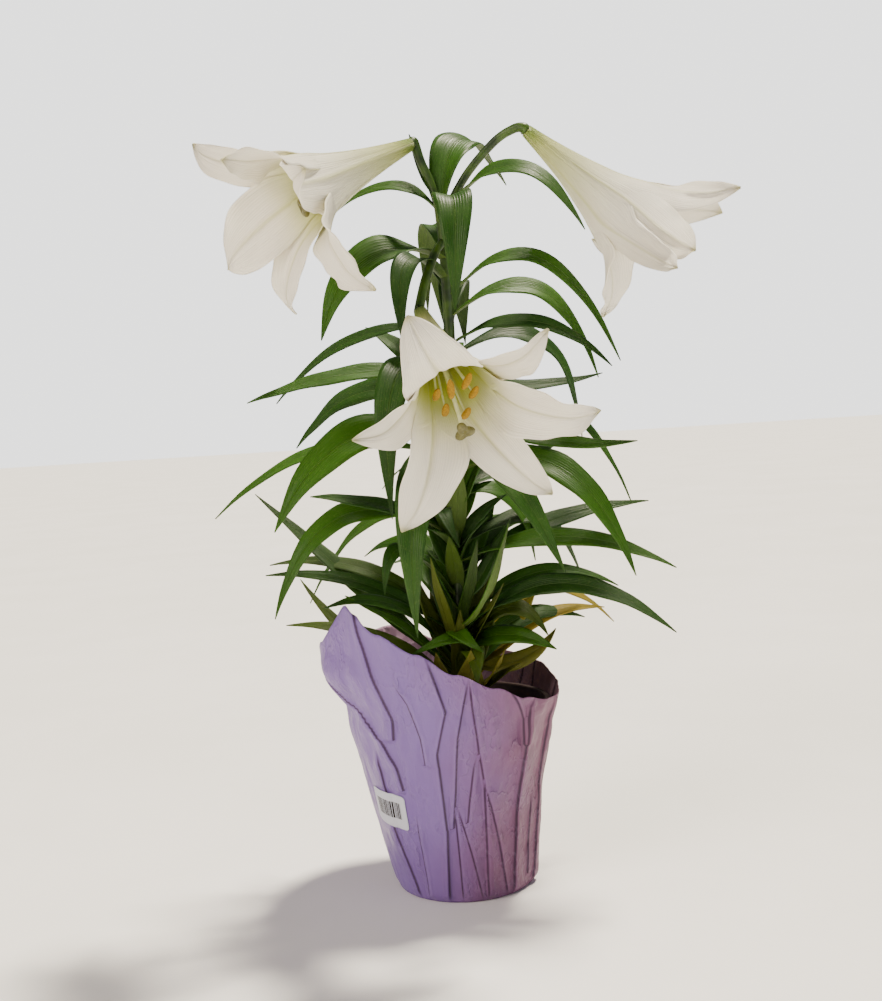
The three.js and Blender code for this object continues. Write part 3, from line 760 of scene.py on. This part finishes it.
def petal_half_width(s, radius, inner, breadth):
    """The outer three close the tube, each over a third of it; the inner three lie under their joints"""
    third = radius * math.pi / 3
    if inner:
        widest, grown = 0.64, mix(11, INNER_HALF * breadth, smooth(s, 0.36, 0.66))
        grown = min(grown, 1.25 * third) if s < 0.4 else grown
    else:
        widest, grown = 0.6, mix(third * 1.03, OUTER_HALF * breadth, smooth(s, THROAT, 0.62))
    past = max(s - widest, 0) / (1 - widest)
    return grown * (1 - past**2.3) + 0.5


def grow_petal(bm, flower, k, ruffle, draw):
    """One petal: grooved down its middle, billowed, waved along its edges and hooked at its tip"""
    base, forward, up, right = flower_axes(flower)
    inner = k % 2 == 0
    petal = {**PETAL, **flower["petals"][k]}
    phase = math.radians(flower["phase"] + 60 * k)
    out = up * math.cos(phase) + right * math.sin(phase)
    side = right * math.cos(phase) - up * math.sin(phase)
    starts = [draw.uniform(0, TAU), draw.uniform(0, TAU)]
    waves = draw.uniform(2.6, 3.8)
    seed = draw.uniform(0, 50)
    profiles = {}
    strength = ruffle if inner else 0.6 * ruffle

    def place(u, s):
        if s not in profiles:
            profiles[s] = petal_profile(s, flower["length"], petal["flare"], petal["curl"])
        u = math.copysign(abs(u) ** 1.3, u)
        reach, radius, angle = profiles[s]
        past = max(s - THROAT, 0) / (1 - THROAT)
        inward = forward * math.sin(angle) - out * math.cos(angle)
        onward = forward * math.cos(angle) + out * math.sin(angle)
        faced = Quaternion(onward, math.radians(petal["turn"]) * past)
        half = petal_half_width(s, radius, inner, petal["breadth"])
        turn = u * half / radius
        off = abs(u * half)
        inset = mix(0.9, 2.5, smooth(s, THROAT - 0.05, 0.75)) if inner else 0
        keel = 1.25 * bell(off / 1.9) - 0.3 * bell((off - 4.5) / 2)
        keel *= rise_and_fall(s, 0.04, 0.4, 0.78, 1)
        start = starts[0 if u > 0 else 1]
        wave = math.sin(TAU * waves * s + start) + 0.45 * math.sin(TAU * 2.3 * waves * s + 2 * start)
        edge = strength * rise_and_fall(s, 0.48, 0.7, 0.9, 1) * wave * abs(u) ** 2.5
        billow = 1.6 * noise.noise(Vector((1.3 * u, 6 * s, seed))) * smooth(s, 0.35, 0.6)
        hook = -petal["hook"] * smooth(s, 0.8, 1) ** 2
        point = base + forward * reach + out * radius + side * (petal["sway"] * past**1.4)
        lift = radius * (1 - math.cos(turn)) + inset - keel + edge + hook + billow
        return point + faced @ side * (radius * math.sin(turn)) + faced @ inward * lift

    return sheet_grid(bm, 24, 64, place)


def grow_stamens(bm, flower, draw):
    """Six filaments with their anthers, round a style that ends in a three-lobed stigma"""
    base, forward, up, right = flower_axes(flower)

    def at(reach, out, azimuth):
        return base + forward * reach + up * (out * math.cos(azimuth)) + right * (out * math.sin(azimuth))

    for i in range(6):
        azimuth = math.radians(flower["phase"] + 60 * i)
        middle = at(flower["anthers"] + 5 * math.cos(2 * i), ANTHER_OUT, azimuth)
        line = spline([at(1, 1.6, azimuth), at(45, 4, azimuth), middle])
        tube(bm, line, lambda s, _: mix(1.0, 0.65, s), 10, 24)
        lean = math.radians(draw.uniform(-22, 22))
        pitch = draw.uniform(-0.4, 0.4)
        length = (up * math.cos(lean) + right * math.sin(lean) + forward * pitch).normalized()
        width = forward.cross(length).normalized()
        depth = width.cross(length)

        def anther(p):
            groove = 1 - 0.3 * bell(p.x / 0.22) * (1 if p.y < 0 else 0.2)
            lumps = 1 + 0.05 * noise.noise(p * 5 + Vector((i, 0, 0)))
            across, deep, along = (half * share for half, share in zip(ANTHER, p))
            bent = deep * groove * lumps + 0.6 * p.z * p.z
            return middle + width * (across * lumps) + depth * bent + length * along

        set_material(ball(bm, 14, 16, anther), 1)

    head = at(flower["style"], STYLE_BEND, math.pi)
    line = spline([at(1, 0, 0), at(70, 1, math.pi), head])
    tube(bm, line, lambda s, _: mix(2.0, 1.25, s), 14, 32)

    def stigma(p):
        turn = 3 * math.atan2(p.y, p.x)
        lobe = STIGMA_RADIUS * (1 + 0.3 * math.cos(turn))
        rise = STIGMA_RISE * p.z
        if p.z > 0:
            rise += 0.5 * abs(math.sin(turn / 2)) - 1.44 * math.exp(-(p.x * p.x + p.y * p.y) / 0.12)
        return head + right * (p.x * lobe) + up * (p.y * lobe) + forward * rise

    set_material(ball(bm, 20, 36, stigma), 2)


# Pot, soil and wrapper


def pot_wall(height):
    """Outer radius of the pot below its rim"""
    return mix(POT_BASE, POT_TOP, (height - POT_FLOOR) / POT_HEIGHT)


def soil_height(radius):
    return SOIL_TOP - SOIL_DIP * smooth(radius, 0.6 * POT_TOP, POT_TOP)


def rim_at(azimuth):
    azimuth = (azimuth - RIM[0][0]) % 360 + RIM[0][0]
    for (start, radius, height), (end, next_radius, next_height) in zip(RIM, RIM[1:]):
        if azimuth <= end:
            share = smooth(azimuth, start, end)
            return mix(radius, next_radius, share), mix(height, next_height, share)
    return RIM[-1][1:]


def cover_radius(azimuth, height):
    """Outer face of the film, without its folds"""
    neck = COVER_NECK + COVER_LEAN * math.cos(math.radians(azimuth - 190))
    if height <= NECK_HEIGHT:
        return mix(COVER_BASE, neck, height / NECK_HEIGHT)
    radius, rim_height = rim_at(azimuth)
    return mix(neck, radius, (height - NECK_HEIGHT) / max(rim_height - NECK_HEIGHT, 1))


def fold_lines():
    """The folds of the front, and those of the back by a seeded rule"""
    draw = random.Random(7)
    lines = list(FOLDS)
    for i in range(BACK_FOLDS):
        azimuth = 348 + i * 205 / BACK_FOLDS + draw.uniform(-4, 4)
        top = draw.uniform(120, 185)
        slope = draw.uniform(-9, 9)
        depth = draw.choice((-1, 1)) * draw.uniform(1.3, 2.4)
        lines.append((depth, [(azimuth + slope, top), (azimuth, top * 0.55), (azimuth - slope * 0.5, 0)]))
    return lines


def fold_azimuth(line, height):
    """A fold's azimuth at a height, its lean in degrees a millimetre and how far inside its ends that is"""
    for (a, high), (b, low) in zip(line, line[1:]):
        if low <= height <= high:
            lean = (a - b) / max(high - low, 1)
            inside = min(line[0][1] - height, height - line[-1][1] + FOLD_END)
            return b + lean * (height - low), lean, inside
    return None, 0, 0


def folds_near(azimuth, height, lines):
    """The folds close by, as (depth, distance to the lapped side of its line, how far it has opened)"""
    radius = cover_radius(azimuth, height)
    for depth, line in lines:
        middle, lean, inside = fold_azimuth(line, height)
        if middle is None:
            continue
        off = math.radians(apart(azimuth, middle)) * radius
        off /= math.hypot(1, math.radians(lean) * radius)
        if abs(off) < FOLD_REACH:
            yield abs(depth), math.copysign(1, depth) * off, min(inside / FOLD_END, 1)


def uneven(place, level, upright):
    """Noise of one fineness round the pot and another upwards"""
    return noise.noise(Vector((place.x * level, place.y * level, place.z * upright)))


def cover_relief(azimuth, height, lines):
    """How far the film stands out from its plain cone, for folds, swells, slack, crinkles and gathers"""
    relief = -1.2
    for depth, off, opened in folds_near(azimuth, height, lines):
        over = depth * (1 - smooth(off, 0, FOLD_FADE))
        below = -0.3 * depth * math.exp(min(off, 0) / 4)
        relief += opened * mix(below, over, smooth(off, *FOLD_STEP))
    for middle, level, wide, tall, depth in SWELLS:
        relief += depth * bell(apart(azimuth, middle) / wide) * bell((height - level) / tall)
    place = around(azimuth, cover_radius(azimuth, height), height)
    slack = 1.5 * noise.noise(place * 0.021 + Vector((3, 0, 0)))
    crinkles = 0.7 * uneven(place, 0.09, 0.042) + 0.25 * uneven(place, 0.19, 0.152)
    gathers = 1.6 * uneven(place, 0.13, 0.039) * bell((height - NECK_HEIGHT) / 32)
    return relief + slack + crinkles + gathers


def cover_point(azimuth, height, lines):
    tucked = smooth(height, 0, 7)
    radius = cover_radius(azimuth, height) + tucked * cover_relief(azimuth, height, lines)
    radius -= FLOOR_TUCK * (1 - tucked)
    if height < POT_HEIGHT:
        pot = mix(pot_wall(height), POT_RIM, smooth(height, *POT_SHOULDER))
        radius = max(radius, pot + POT_GAP)
    return around(azimuth, radius, height)


# Settings


def length(name, description, default):
    return FloatProperty(name=name, description=description, default=default, unit="LENGTH")


def tint(name, description, *channels):
    shade = colour(*channels)
    return FloatVectorProperty(name=name, description=description, default=shade, subtype="COLOR")


class LilySettings(bpy.types.PropertyGroup):
    """Sizes and colours of the plant and its wrapper"""

    leaf_thickness: length("Leaf thickness", "Thickness of a blade", 0.0007)
    petal_thickness: length("Petal thickness", "Thickness of a petal", 0.0007)
    film_thickness: length("Film thickness", "Thickness of the wrapper's film", 0.0004)
    ruffle: FloatProperty(
        name="Ruffle", description="Height of the waves along a petal's edges, in millimetres", default=2.6
    )
    leaf_green: tint("Leaf green", "Deep green of a leaf's upper side", 17, 52, 3)
    leaf_pale: tint("Leaf pale green", "Lighter green of a leaf's upper side", 52, 94, 9)
    film_tint: tint("Film tint", "Main colour of the wrapper", 124, 101, 164)
    # Darker, rosier colour painted on the wrapper's right side as shade
    film_painted_shade: tint("Film deep tint", "Rosier colour of the wrapper", 116, 76, 102)


# Steps


class LILY_OT_stem(bpy.types.Operator):
    """Grow the stem and the three flower stalks"""

    bl_idname = "lily.stem"
    bl_label = "Stem"

    def execute(self, context):
        bm = bmesh.new()

        def knuckled(s, angle):
            scars = 0.18 * noise.noise(Vector((math.cos(angle), math.sin(angle), 22 * s)))
            return mix(STEM_BOTTOM, STEM_TOP, s) + scars

        tube(bm, stem_line, knuckled, 20, 140)
        for flower in BLOOMS.values():
            forward = Vector(flower["axis"]).normalized()
            end = Vector(flower["base"]) - forward * 0.5
            line = spline([*flower["stalk"], end - forward * 3, end])
            tube(bm, line, lambda s, _: mix(STALK_RADIUS, BASE_RADIUS + 0.1, s**3), 16, 48)
        stem = plain_finish(
            "stem_skin", colour(22, 44, 6), colour(62, 92, 18), 60, 0.42, 0.0003, Specular_IOR_Level=0.45
        )
        make_piece("stem_and_stalks", bm, [stem], ["leafy_stem"])
        return {"FINISHED"}


class LILY_OT_leaves(bpy.types.Operator):
    """Grow the leaves"""

    bl_idname = "lily.leaves"
    bl_label = "Leaves"

    def execute(self, context):
        settings = context.scene.lily
        draw = random.Random(11)
        bm = bmesh.new()
        bm.verts.layers.float.new("tone")
        bm.verts.layers.float.new("age")
        for leaf in [*LEAVES, *ruled_leaves(BACK_LEAVES), *ruled_leaves(INNER_LEAVES)]:
            grow_leaf(bm, leaf, draw)
        top = leaf_finish("leaf_top", tuple(settings.leaf_green), tuple(settings.leaf_pale), 0.38, 0.0004)
        under = leaf_finish("leaf_under", colour(40, 66, 18), colour(78, 102, 36), 0.52, 0.0005)
        make_piece("leaves", bm, [top, under], ["leafy_stem"], settings.leaf_thickness)
        return {"FINISHED"}


class LILY_OT_blooms(bpy.types.Operator):
    """Grow the three trumpets, six petals each"""

    bl_idname = "lily.blooms"
    bl_label = "Blooms"

    def execute(self, context):
        settings = context.scene.lily
        inside = petal_finish("petal_inside", True)
        outside = petal_finish("petal_outside", False)
        draw = random.Random(5)
        for name, flower in BLOOMS.items():
            bm = bmesh.new()
            for k in range(6):
                grow_petal(bm, flower, k, settings.ruffle, draw)
            node = "bloom_" + name
            make_piece(node + "_petals", bm, [inside, outside], [node], settings.petal_thickness)
        return {"FINISHED"}


class LILY_OT_stamens(bpy.types.Operator):
    """Grow the stamens and the style in each trumpet"""

    bl_idname = "lily.stamens"
    bl_label = "Stamens"

    def execute(self, context):
        thread = plain_finish("filament", colour(214, 222, 160), colour(232, 234, 196), 300, 0.4, 0.00005)
        pollen = plain_finish("pollen", colour(134, 100, 0), colour(174, 134, 0), 700, 0.85, 0.0004)
        stigma = plain_finish("stigma", colour(74, 72, 28), colour(108, 104, 50), 500, 0.35, 0.0002)
        draw = random.Random(3)
        for name, flower in BLOOMS.items():
            bm = bmesh.new()
            grow_stamens(bm, flower, draw)
            node = "stamens_" + name
            make_piece(node + "_fine", bm, [thread, pollen, stigma], [node])
        return {"FINISHED"}


class LILY_OT_pot(bpy.types.Operator):
    """Turn the nursery pot, with its rolled rim"""

    bl_idname = "lily.pot"
    bl_label = "Pot"

    def execute(self, context):
        top = POT_FLOOR + POT_HEIGHT
        lip = top - RIM_HEIGHT
        inside = POT_FLOOR + POT_WALL
        profile = [
            (0, POT_FLOOR),
            (POT_BASE - 1, POT_FLOOR),
            (POT_BASE, POT_FLOOR + 1),
            (pot_wall(lip) - 0.3, lip - 0.6),
            (POT_RIM - 0.5, lip),
            (POT_RIM, lip + 0.7),
            (POT_RIM, top - 0.7),
            (POT_RIM - 0.7, top),
            (POT_TOP - POT_WALL + 0.6, top),
            (POT_TOP - POT_WALL, top - 0.6),
            (pot_wall(inside) - POT_WALL, inside),
            (0, inside),
        ]
        bm = bmesh.new()
        verts = [bm.verts.new(Vector((radius, 0, height)) * MM) for radius, height in profile]
        edges = [bm.edges.new(pair) for pair in zip(verts, verts[1:])]
        bmesh.ops.spin(
            bm,
            geom=[*verts, *edges],
            cent=(0, 0, 0),
            axis=(0, 0, 1),
            dvec=(0, 0, 0),
            angle=TAU,
            steps=96,
            use_merge=True,
            use_duplicate=False,
        )
        bmesh.ops.remove_doubles(bm, verts=bm.verts, dist=1e-6)
        bmesh.ops.recalc_face_normals(bm, faces=bm.faces)
        # The pot's plastic is painted very dark so that its rim, where it shows inside the wrapper, reads
        # as shade
        plastic_dark_as_shade = plain_finish(
            "pot_plastic", colour(40, 27, 28), colour(54, 37, 38), 30, 0.6, 0.00004, Specular_IOR_Level=0.3
        )
        piece = make_piece("nursery_pot", bm, [plastic_dark_as_shade], ["pot"])
        edge = piece.modifiers.new("Sharp edges", "EDGE_SPLIT")
        edge.split_angle = math.radians(40)
        return {"FINISHED"}


class LILY_OT_soil(bpy.types.Operator):
    """Cover the soil with peat crumbs and grains of perlite"""

    bl_idname = "lily.soil"
    bl_label = "Soil"

    def execute(self, context):
        peat = plain_finish("peat", colour(26, 18, 12), colour(70, 52, 36), 160, 0.9, 0.002)
        grain = plain_finish("perlite", colour(206, 202, 190), colour(236, 234, 226), 400, 0.8, 0.0003)
        dress("soil", peat)
        rim = mix(POT_BASE, POT_TOP, (SOIL_TOP - SOIL_DIP) / POT_HEIGHT) - POT_WALL - 0.6

        def lumpy(u, s):
            radius = mix(STEM_HOLE + 0.3, rim, s)
            place = around(180 * u, radius, 0)
            lumps = 1.6 * noise.noise(place * 0.09) + 0.9 * noise.noise((place + Vector((0, 0, 4))) * 0.3)
            place.z = soil_height(radius) + 0.4 + max(lumps + 1, 0) * rise_and_fall(s, 0, 0.06, 0.93, 1)
            return place

        bm = bmesh.new()
        verts = sheet_grid(bm, 120, 44, lumpy)
        bmesh.ops.remove_doubles(bm, verts=verts, dist=1e-6)
        draw = random.Random(2)
        for i in range(CRUMBS):
            azimuth, radius = draw.uniform(0, 360), math.sqrt(draw.uniform(0.03, 0.94)) * rim
            middle = around(azimuth, radius, soil_height(radius) + 1.2)
            white = i % PERLITE_EVERY == 0
            size = draw.uniform(0.8, 1.5) if white else draw.uniform(0.9, 2.8)
            stretch = Vector((draw.uniform(0.7, 1.8), draw.uniform(0.6, 1), draw.uniform(0.4, 0.8)))
            turn = Matrix.Rotation(draw.uniform(0, TAU), 3, "Z")
            verts = bmesh.ops.create_icosphere(bm, subdivisions=1, radius=1)["verts"]
            for vert in verts:
                rough = 1 + 0.35 * noise.noise(vert.co * 1.7 + Vector((i, 0, 0)))
                vert.co = (turn @ Vector(vert.co * stretch * size * rough) + middle) * MM
            set_material(verts, int(white))
        make_piece("soil_crumbs", bm, [peat, grain])
        return {"FINISHED"}


class LILY_OT_bulb(bpy.types.Operator):
    """Give the bulb in the soil its papery scales"""

    bl_idname = "lily.bulb"
    bl_label = "Bulb"

    def execute(self, context):
        scales = plain_finish("bulb_scales", colour(196, 176, 120), colour(232, 220, 180), 45, 0.5, 0.0008)
        dress("bulb", scales)
        return {"FINISHED"}


class LILY_OT_cover(bpy.types.Operator):
    """Gather the wrapper's film round the pot"""

    bl_idname = "lily.cover"
    bl_label = "Pot cover"

    def execute(self, context):
        settings = context.scene.lily
        lines = fold_lines()
        floor_share, neck_share, crowding = 0.07, 0.72, 0.45

        def place(u, s):
            azimuth = 90 + 180 * (u + crowding / math.pi * math.sin(math.pi * u))
            if s < floor_share:
                return around(azimuth, (COVER_BASE - FLOOR_TUCK) * s / floor_share, COVER_FLOOR)
            if s < neck_share:
                height = mix(COVER_FLOOR, NECK_HEIGHT, (s - floor_share) / (neck_share - floor_share))
            else:
                height = mix(NECK_HEIGHT, rim_at(azimuth)[1], (s - neck_share) / (1 - neck_share))
            return cover_point(azimuth, height, lines)

        bm = bmesh.new()
        verts = sheet_grid(bm, 420, 96, place)
        bmesh.ops.remove_doubles(bm, verts=verts, dist=1e-6)
        self.mark_folds(bm, lines)
        # The film's last colour, and the lining's line colour below, paint the shadow line under each lap
        film = cover_finish(
            "lavender_film", tuple(settings.film_tint), tuple(settings.film_painted_shade), colour(58, 38, 62)
        )
        # The lining is painted lighter than the film, its pale colour and its rosier side alike, to lift
        # the shade inside the wrapper
        pale, lining_painted_shade, line = colour(156, 126, 152), colour(138, 106, 122), colour(70, 48, 66)
        lining = cover_finish("film_lining", pale, lining_painted_shade, line)
        piece = make_piece("wrapper", bm, [film, lining], ["pot_cover"], settings.film_thickness)
        return {"FINISHED"}

    def mark_folds(self, bm, lines):
        """Keep each point's distance from the nearest fold, in millimetres, and how close that is; the
        finish paints the lap shadows and highlights from these, and bumps the laps
        """
        fold = bm.verts.layers.float.new("fold")
        close = bm.verts.layers.float.new("close")
        for vert in bm.verts:
            x, y, height = vert.co / MM
            near = min(
                folds_near(math.degrees(math.atan2(y, x)) % 360, height, lines),
                key=lambda found: abs(found[1]),
                default=(0, FOLD_REACH, 0),
            )
            vert[fold] = near[1]
            vert[close] = near[2] * (1 - smooth(abs(near[1]), 2.5, 5)) * smooth(height, 1, 8)


class LILY_OT_label(bpy.types.Operator):
    """Stick the label on the wrapper"""

    bl_idname = "lily.label"
    bl_label = "Label"

    def execute(self, context):
        lines = fold_lines()
        lean = math.radians(LABEL["tilt"])
        half_width, half_height, corner = LABEL["width"] / 2, LABEL["height"] / 2, LABEL["corner"]

        def place(u, s):
            x, y = u * half_width, (2 * s - 1) * half_height
            over_x, over_y = abs(x) - (half_width - corner), abs(y) - (half_height - corner)
            if over_x > 0 and over_y > 0:
                pull = corner / max(math.hypot(over_x, over_y), corner)
                x = math.copysign(half_width - corner + over_x * pull, x)
                y = math.copysign(half_height - corner + over_y * pull, y)
            height = LABEL["middle"] + y * math.cos(lean) - x * math.sin(lean)
            shift = x * math.cos(lean) + y * math.sin(lean)
            azimuth = LABEL["azimuth"] + math.degrees(shift / cover_radius(LABEL["azimuth"], height))
            reaches = [
                cover_point(azimuth + aside, height + over, lines).xy.length
                for aside in (-3, -1.5, 0, 1.5, 3)
                for over in (-3, 0, 3)
            ]
            return around(azimuth, mix(sum(reaches) / len(reaches), max(reaches), 0.7) + 0.35, height)

        bm = bmesh.new()
        sheet_grid(bm, 24, 26, place)
        sticker = label_finish("sticker")
        piece = make_piece("sticker", bm, [sticker], ["cover_label"], 0.00025)
        piece.modifiers["Thickness"].material_offset = 0
        return {"FINISHED"}


class LILY_OT_stage(bpy.types.Operator):
    """Set the pale floor, the soft lights and the camera"""

    bl_idname = "lily.stage"
    bl_label = "Stage"

    def execute(self, context):
        scene = context.scene
        bm = bmesh.new()
        bmesh.ops.create_grid(bm, x_segments=1, y_segments=1, size=20)
        pale = plain_finish("pale_floor", colour(244, 243, 241), colour(249, 248, 247), 3, 0.75, 0.00002)
        floor = make_object("floor", bm, [pale])
        for lamp in LAMPS:
            self.light(*lamp)
        self.backdrop(scene)
        self.camera(scene)
        return {"FINISHED"}

    def backdrop(self, scene):
        """A bright even backdrop, dimmer in what it lends to the object"""
        world = bpy.data.worlds.new("studio")
        scene.world = world
        world.use_nodes = True
        tree = world.node_tree
        lit = tree.nodes["Background"]
        seen = tree.nodes.new("ShaderNodeBackground")
        for background, shade, strength in ((lit, (238, 240, 246), 0.18), (seen, (253, 253, 252), 2.3)):
            background.inputs["Color"].default_value = (*colour(*shade), 1)
            background.inputs["Strength"].default_value = strength
        rays = tree.nodes.new("ShaderNodeLightPath")
        either = tree.nodes.new("ShaderNodeMixShader")
        tree.links.new(rays.outputs["Is Camera Ray"], either.inputs[0])
        tree.links.new(lit.outputs[0], either.inputs[1])
        tree.links.new(seen.outputs[0], either.inputs[2])
        tree.links.new(either.outputs[0], tree.nodes["World Output"].inputs["Surface"])

    def light(self, name, kind, place, power, shade, spread):
        """A soft lamp turned to the object"""
        data = bpy.data.lights.new(name, kind)
        if kind == "SUN":
            data.angle = math.radians(spread)
        else:
            data.shape = "DISK"
            data.size = spread
        data.energy = power
        data.color = colour(*shade)
        lamp = bpy.data.objects.new(name, data)
        lamp.location = place
        lamp.rotation_euler = (LAMPS_FACE - Vector(place)).to_track_quat("-Z", "Y").to_euler()
        bpy.context.scene.collection.objects.link(lamp)

    def camera(self, scene):
        yaw, pitch, roll = (math.radians(x) for x in (YAW, PITCH, ROLL))
        ahead = Vector((math.sin(yaw), math.cos(yaw), 0))
        forward = ahead * math.cos(pitch) - Vector((0, 0, math.sin(pitch)))
        level = Vector((math.cos(yaw), -math.sin(yaw), 0))
        over = level.cross(forward)
        right = level * math.cos(roll) - over * math.sin(roll)
        up = level * math.sin(roll) + over * math.cos(roll)
        data = bpy.data.cameras.new("camera")
        data.sensor_width = SENSOR
        data.lens = FOCAL / FRAME_HEIGHT * SENSOR
        camera = bpy.data.objects.new("camera", data)
        turned = Matrix((right, up, -forward)).transposed().to_4x4()
        camera.matrix_world = Matrix.Translation(CAMERA_PLACE) @ turned
        scene.collection.objects.link(camera)
        scene.camera = camera


STEPS = (
    LILY_OT_stem,
    LILY_OT_leaves,
    LILY_OT_blooms,
    LILY_OT_stamens,
    LILY_OT_pot,
    LILY_OT_soil,
    LILY_OT_bulb,
    LILY_OT_cover,
    LILY_OT_label,
    LILY_OT_stage,
)


class LILY_PT_panel(bpy.types.Panel):
    """Lists the steps and the settings"""

    bl_label = "Potted Easter Lily"
    bl_idname = "LILY_PT_panel"
    bl_space_type = "VIEW_3D"
    bl_region_type = "UI"
    bl_category = "Lily"

    def draw(self, context):
        settings = context.scene.lily
        for name in LilySettings.__annotations__:
            self.layout.prop(settings, name)
        for step in STEPS:
            self.layout.operator(step.bl_idname)


def register():
    for part in (LilySettings, *STEPS, LILY_PT_panel):
        bpy.utils.register_class(part)
    bpy.types.Scene.lily = PointerProperty(type=LilySettings)


def unregister():
    del bpy.types.Scene.lily
    for part in (LILY_PT_panel, *reversed(STEPS), LilySettings):
        bpy.utils.unregister_class(part)


def main():
    register()
    for step in STEPS:
        group, name = step.bl_idname.split(".")
        getattr(getattr(bpy.ops, group), name)()


if __name__ == "__main__":
    main()
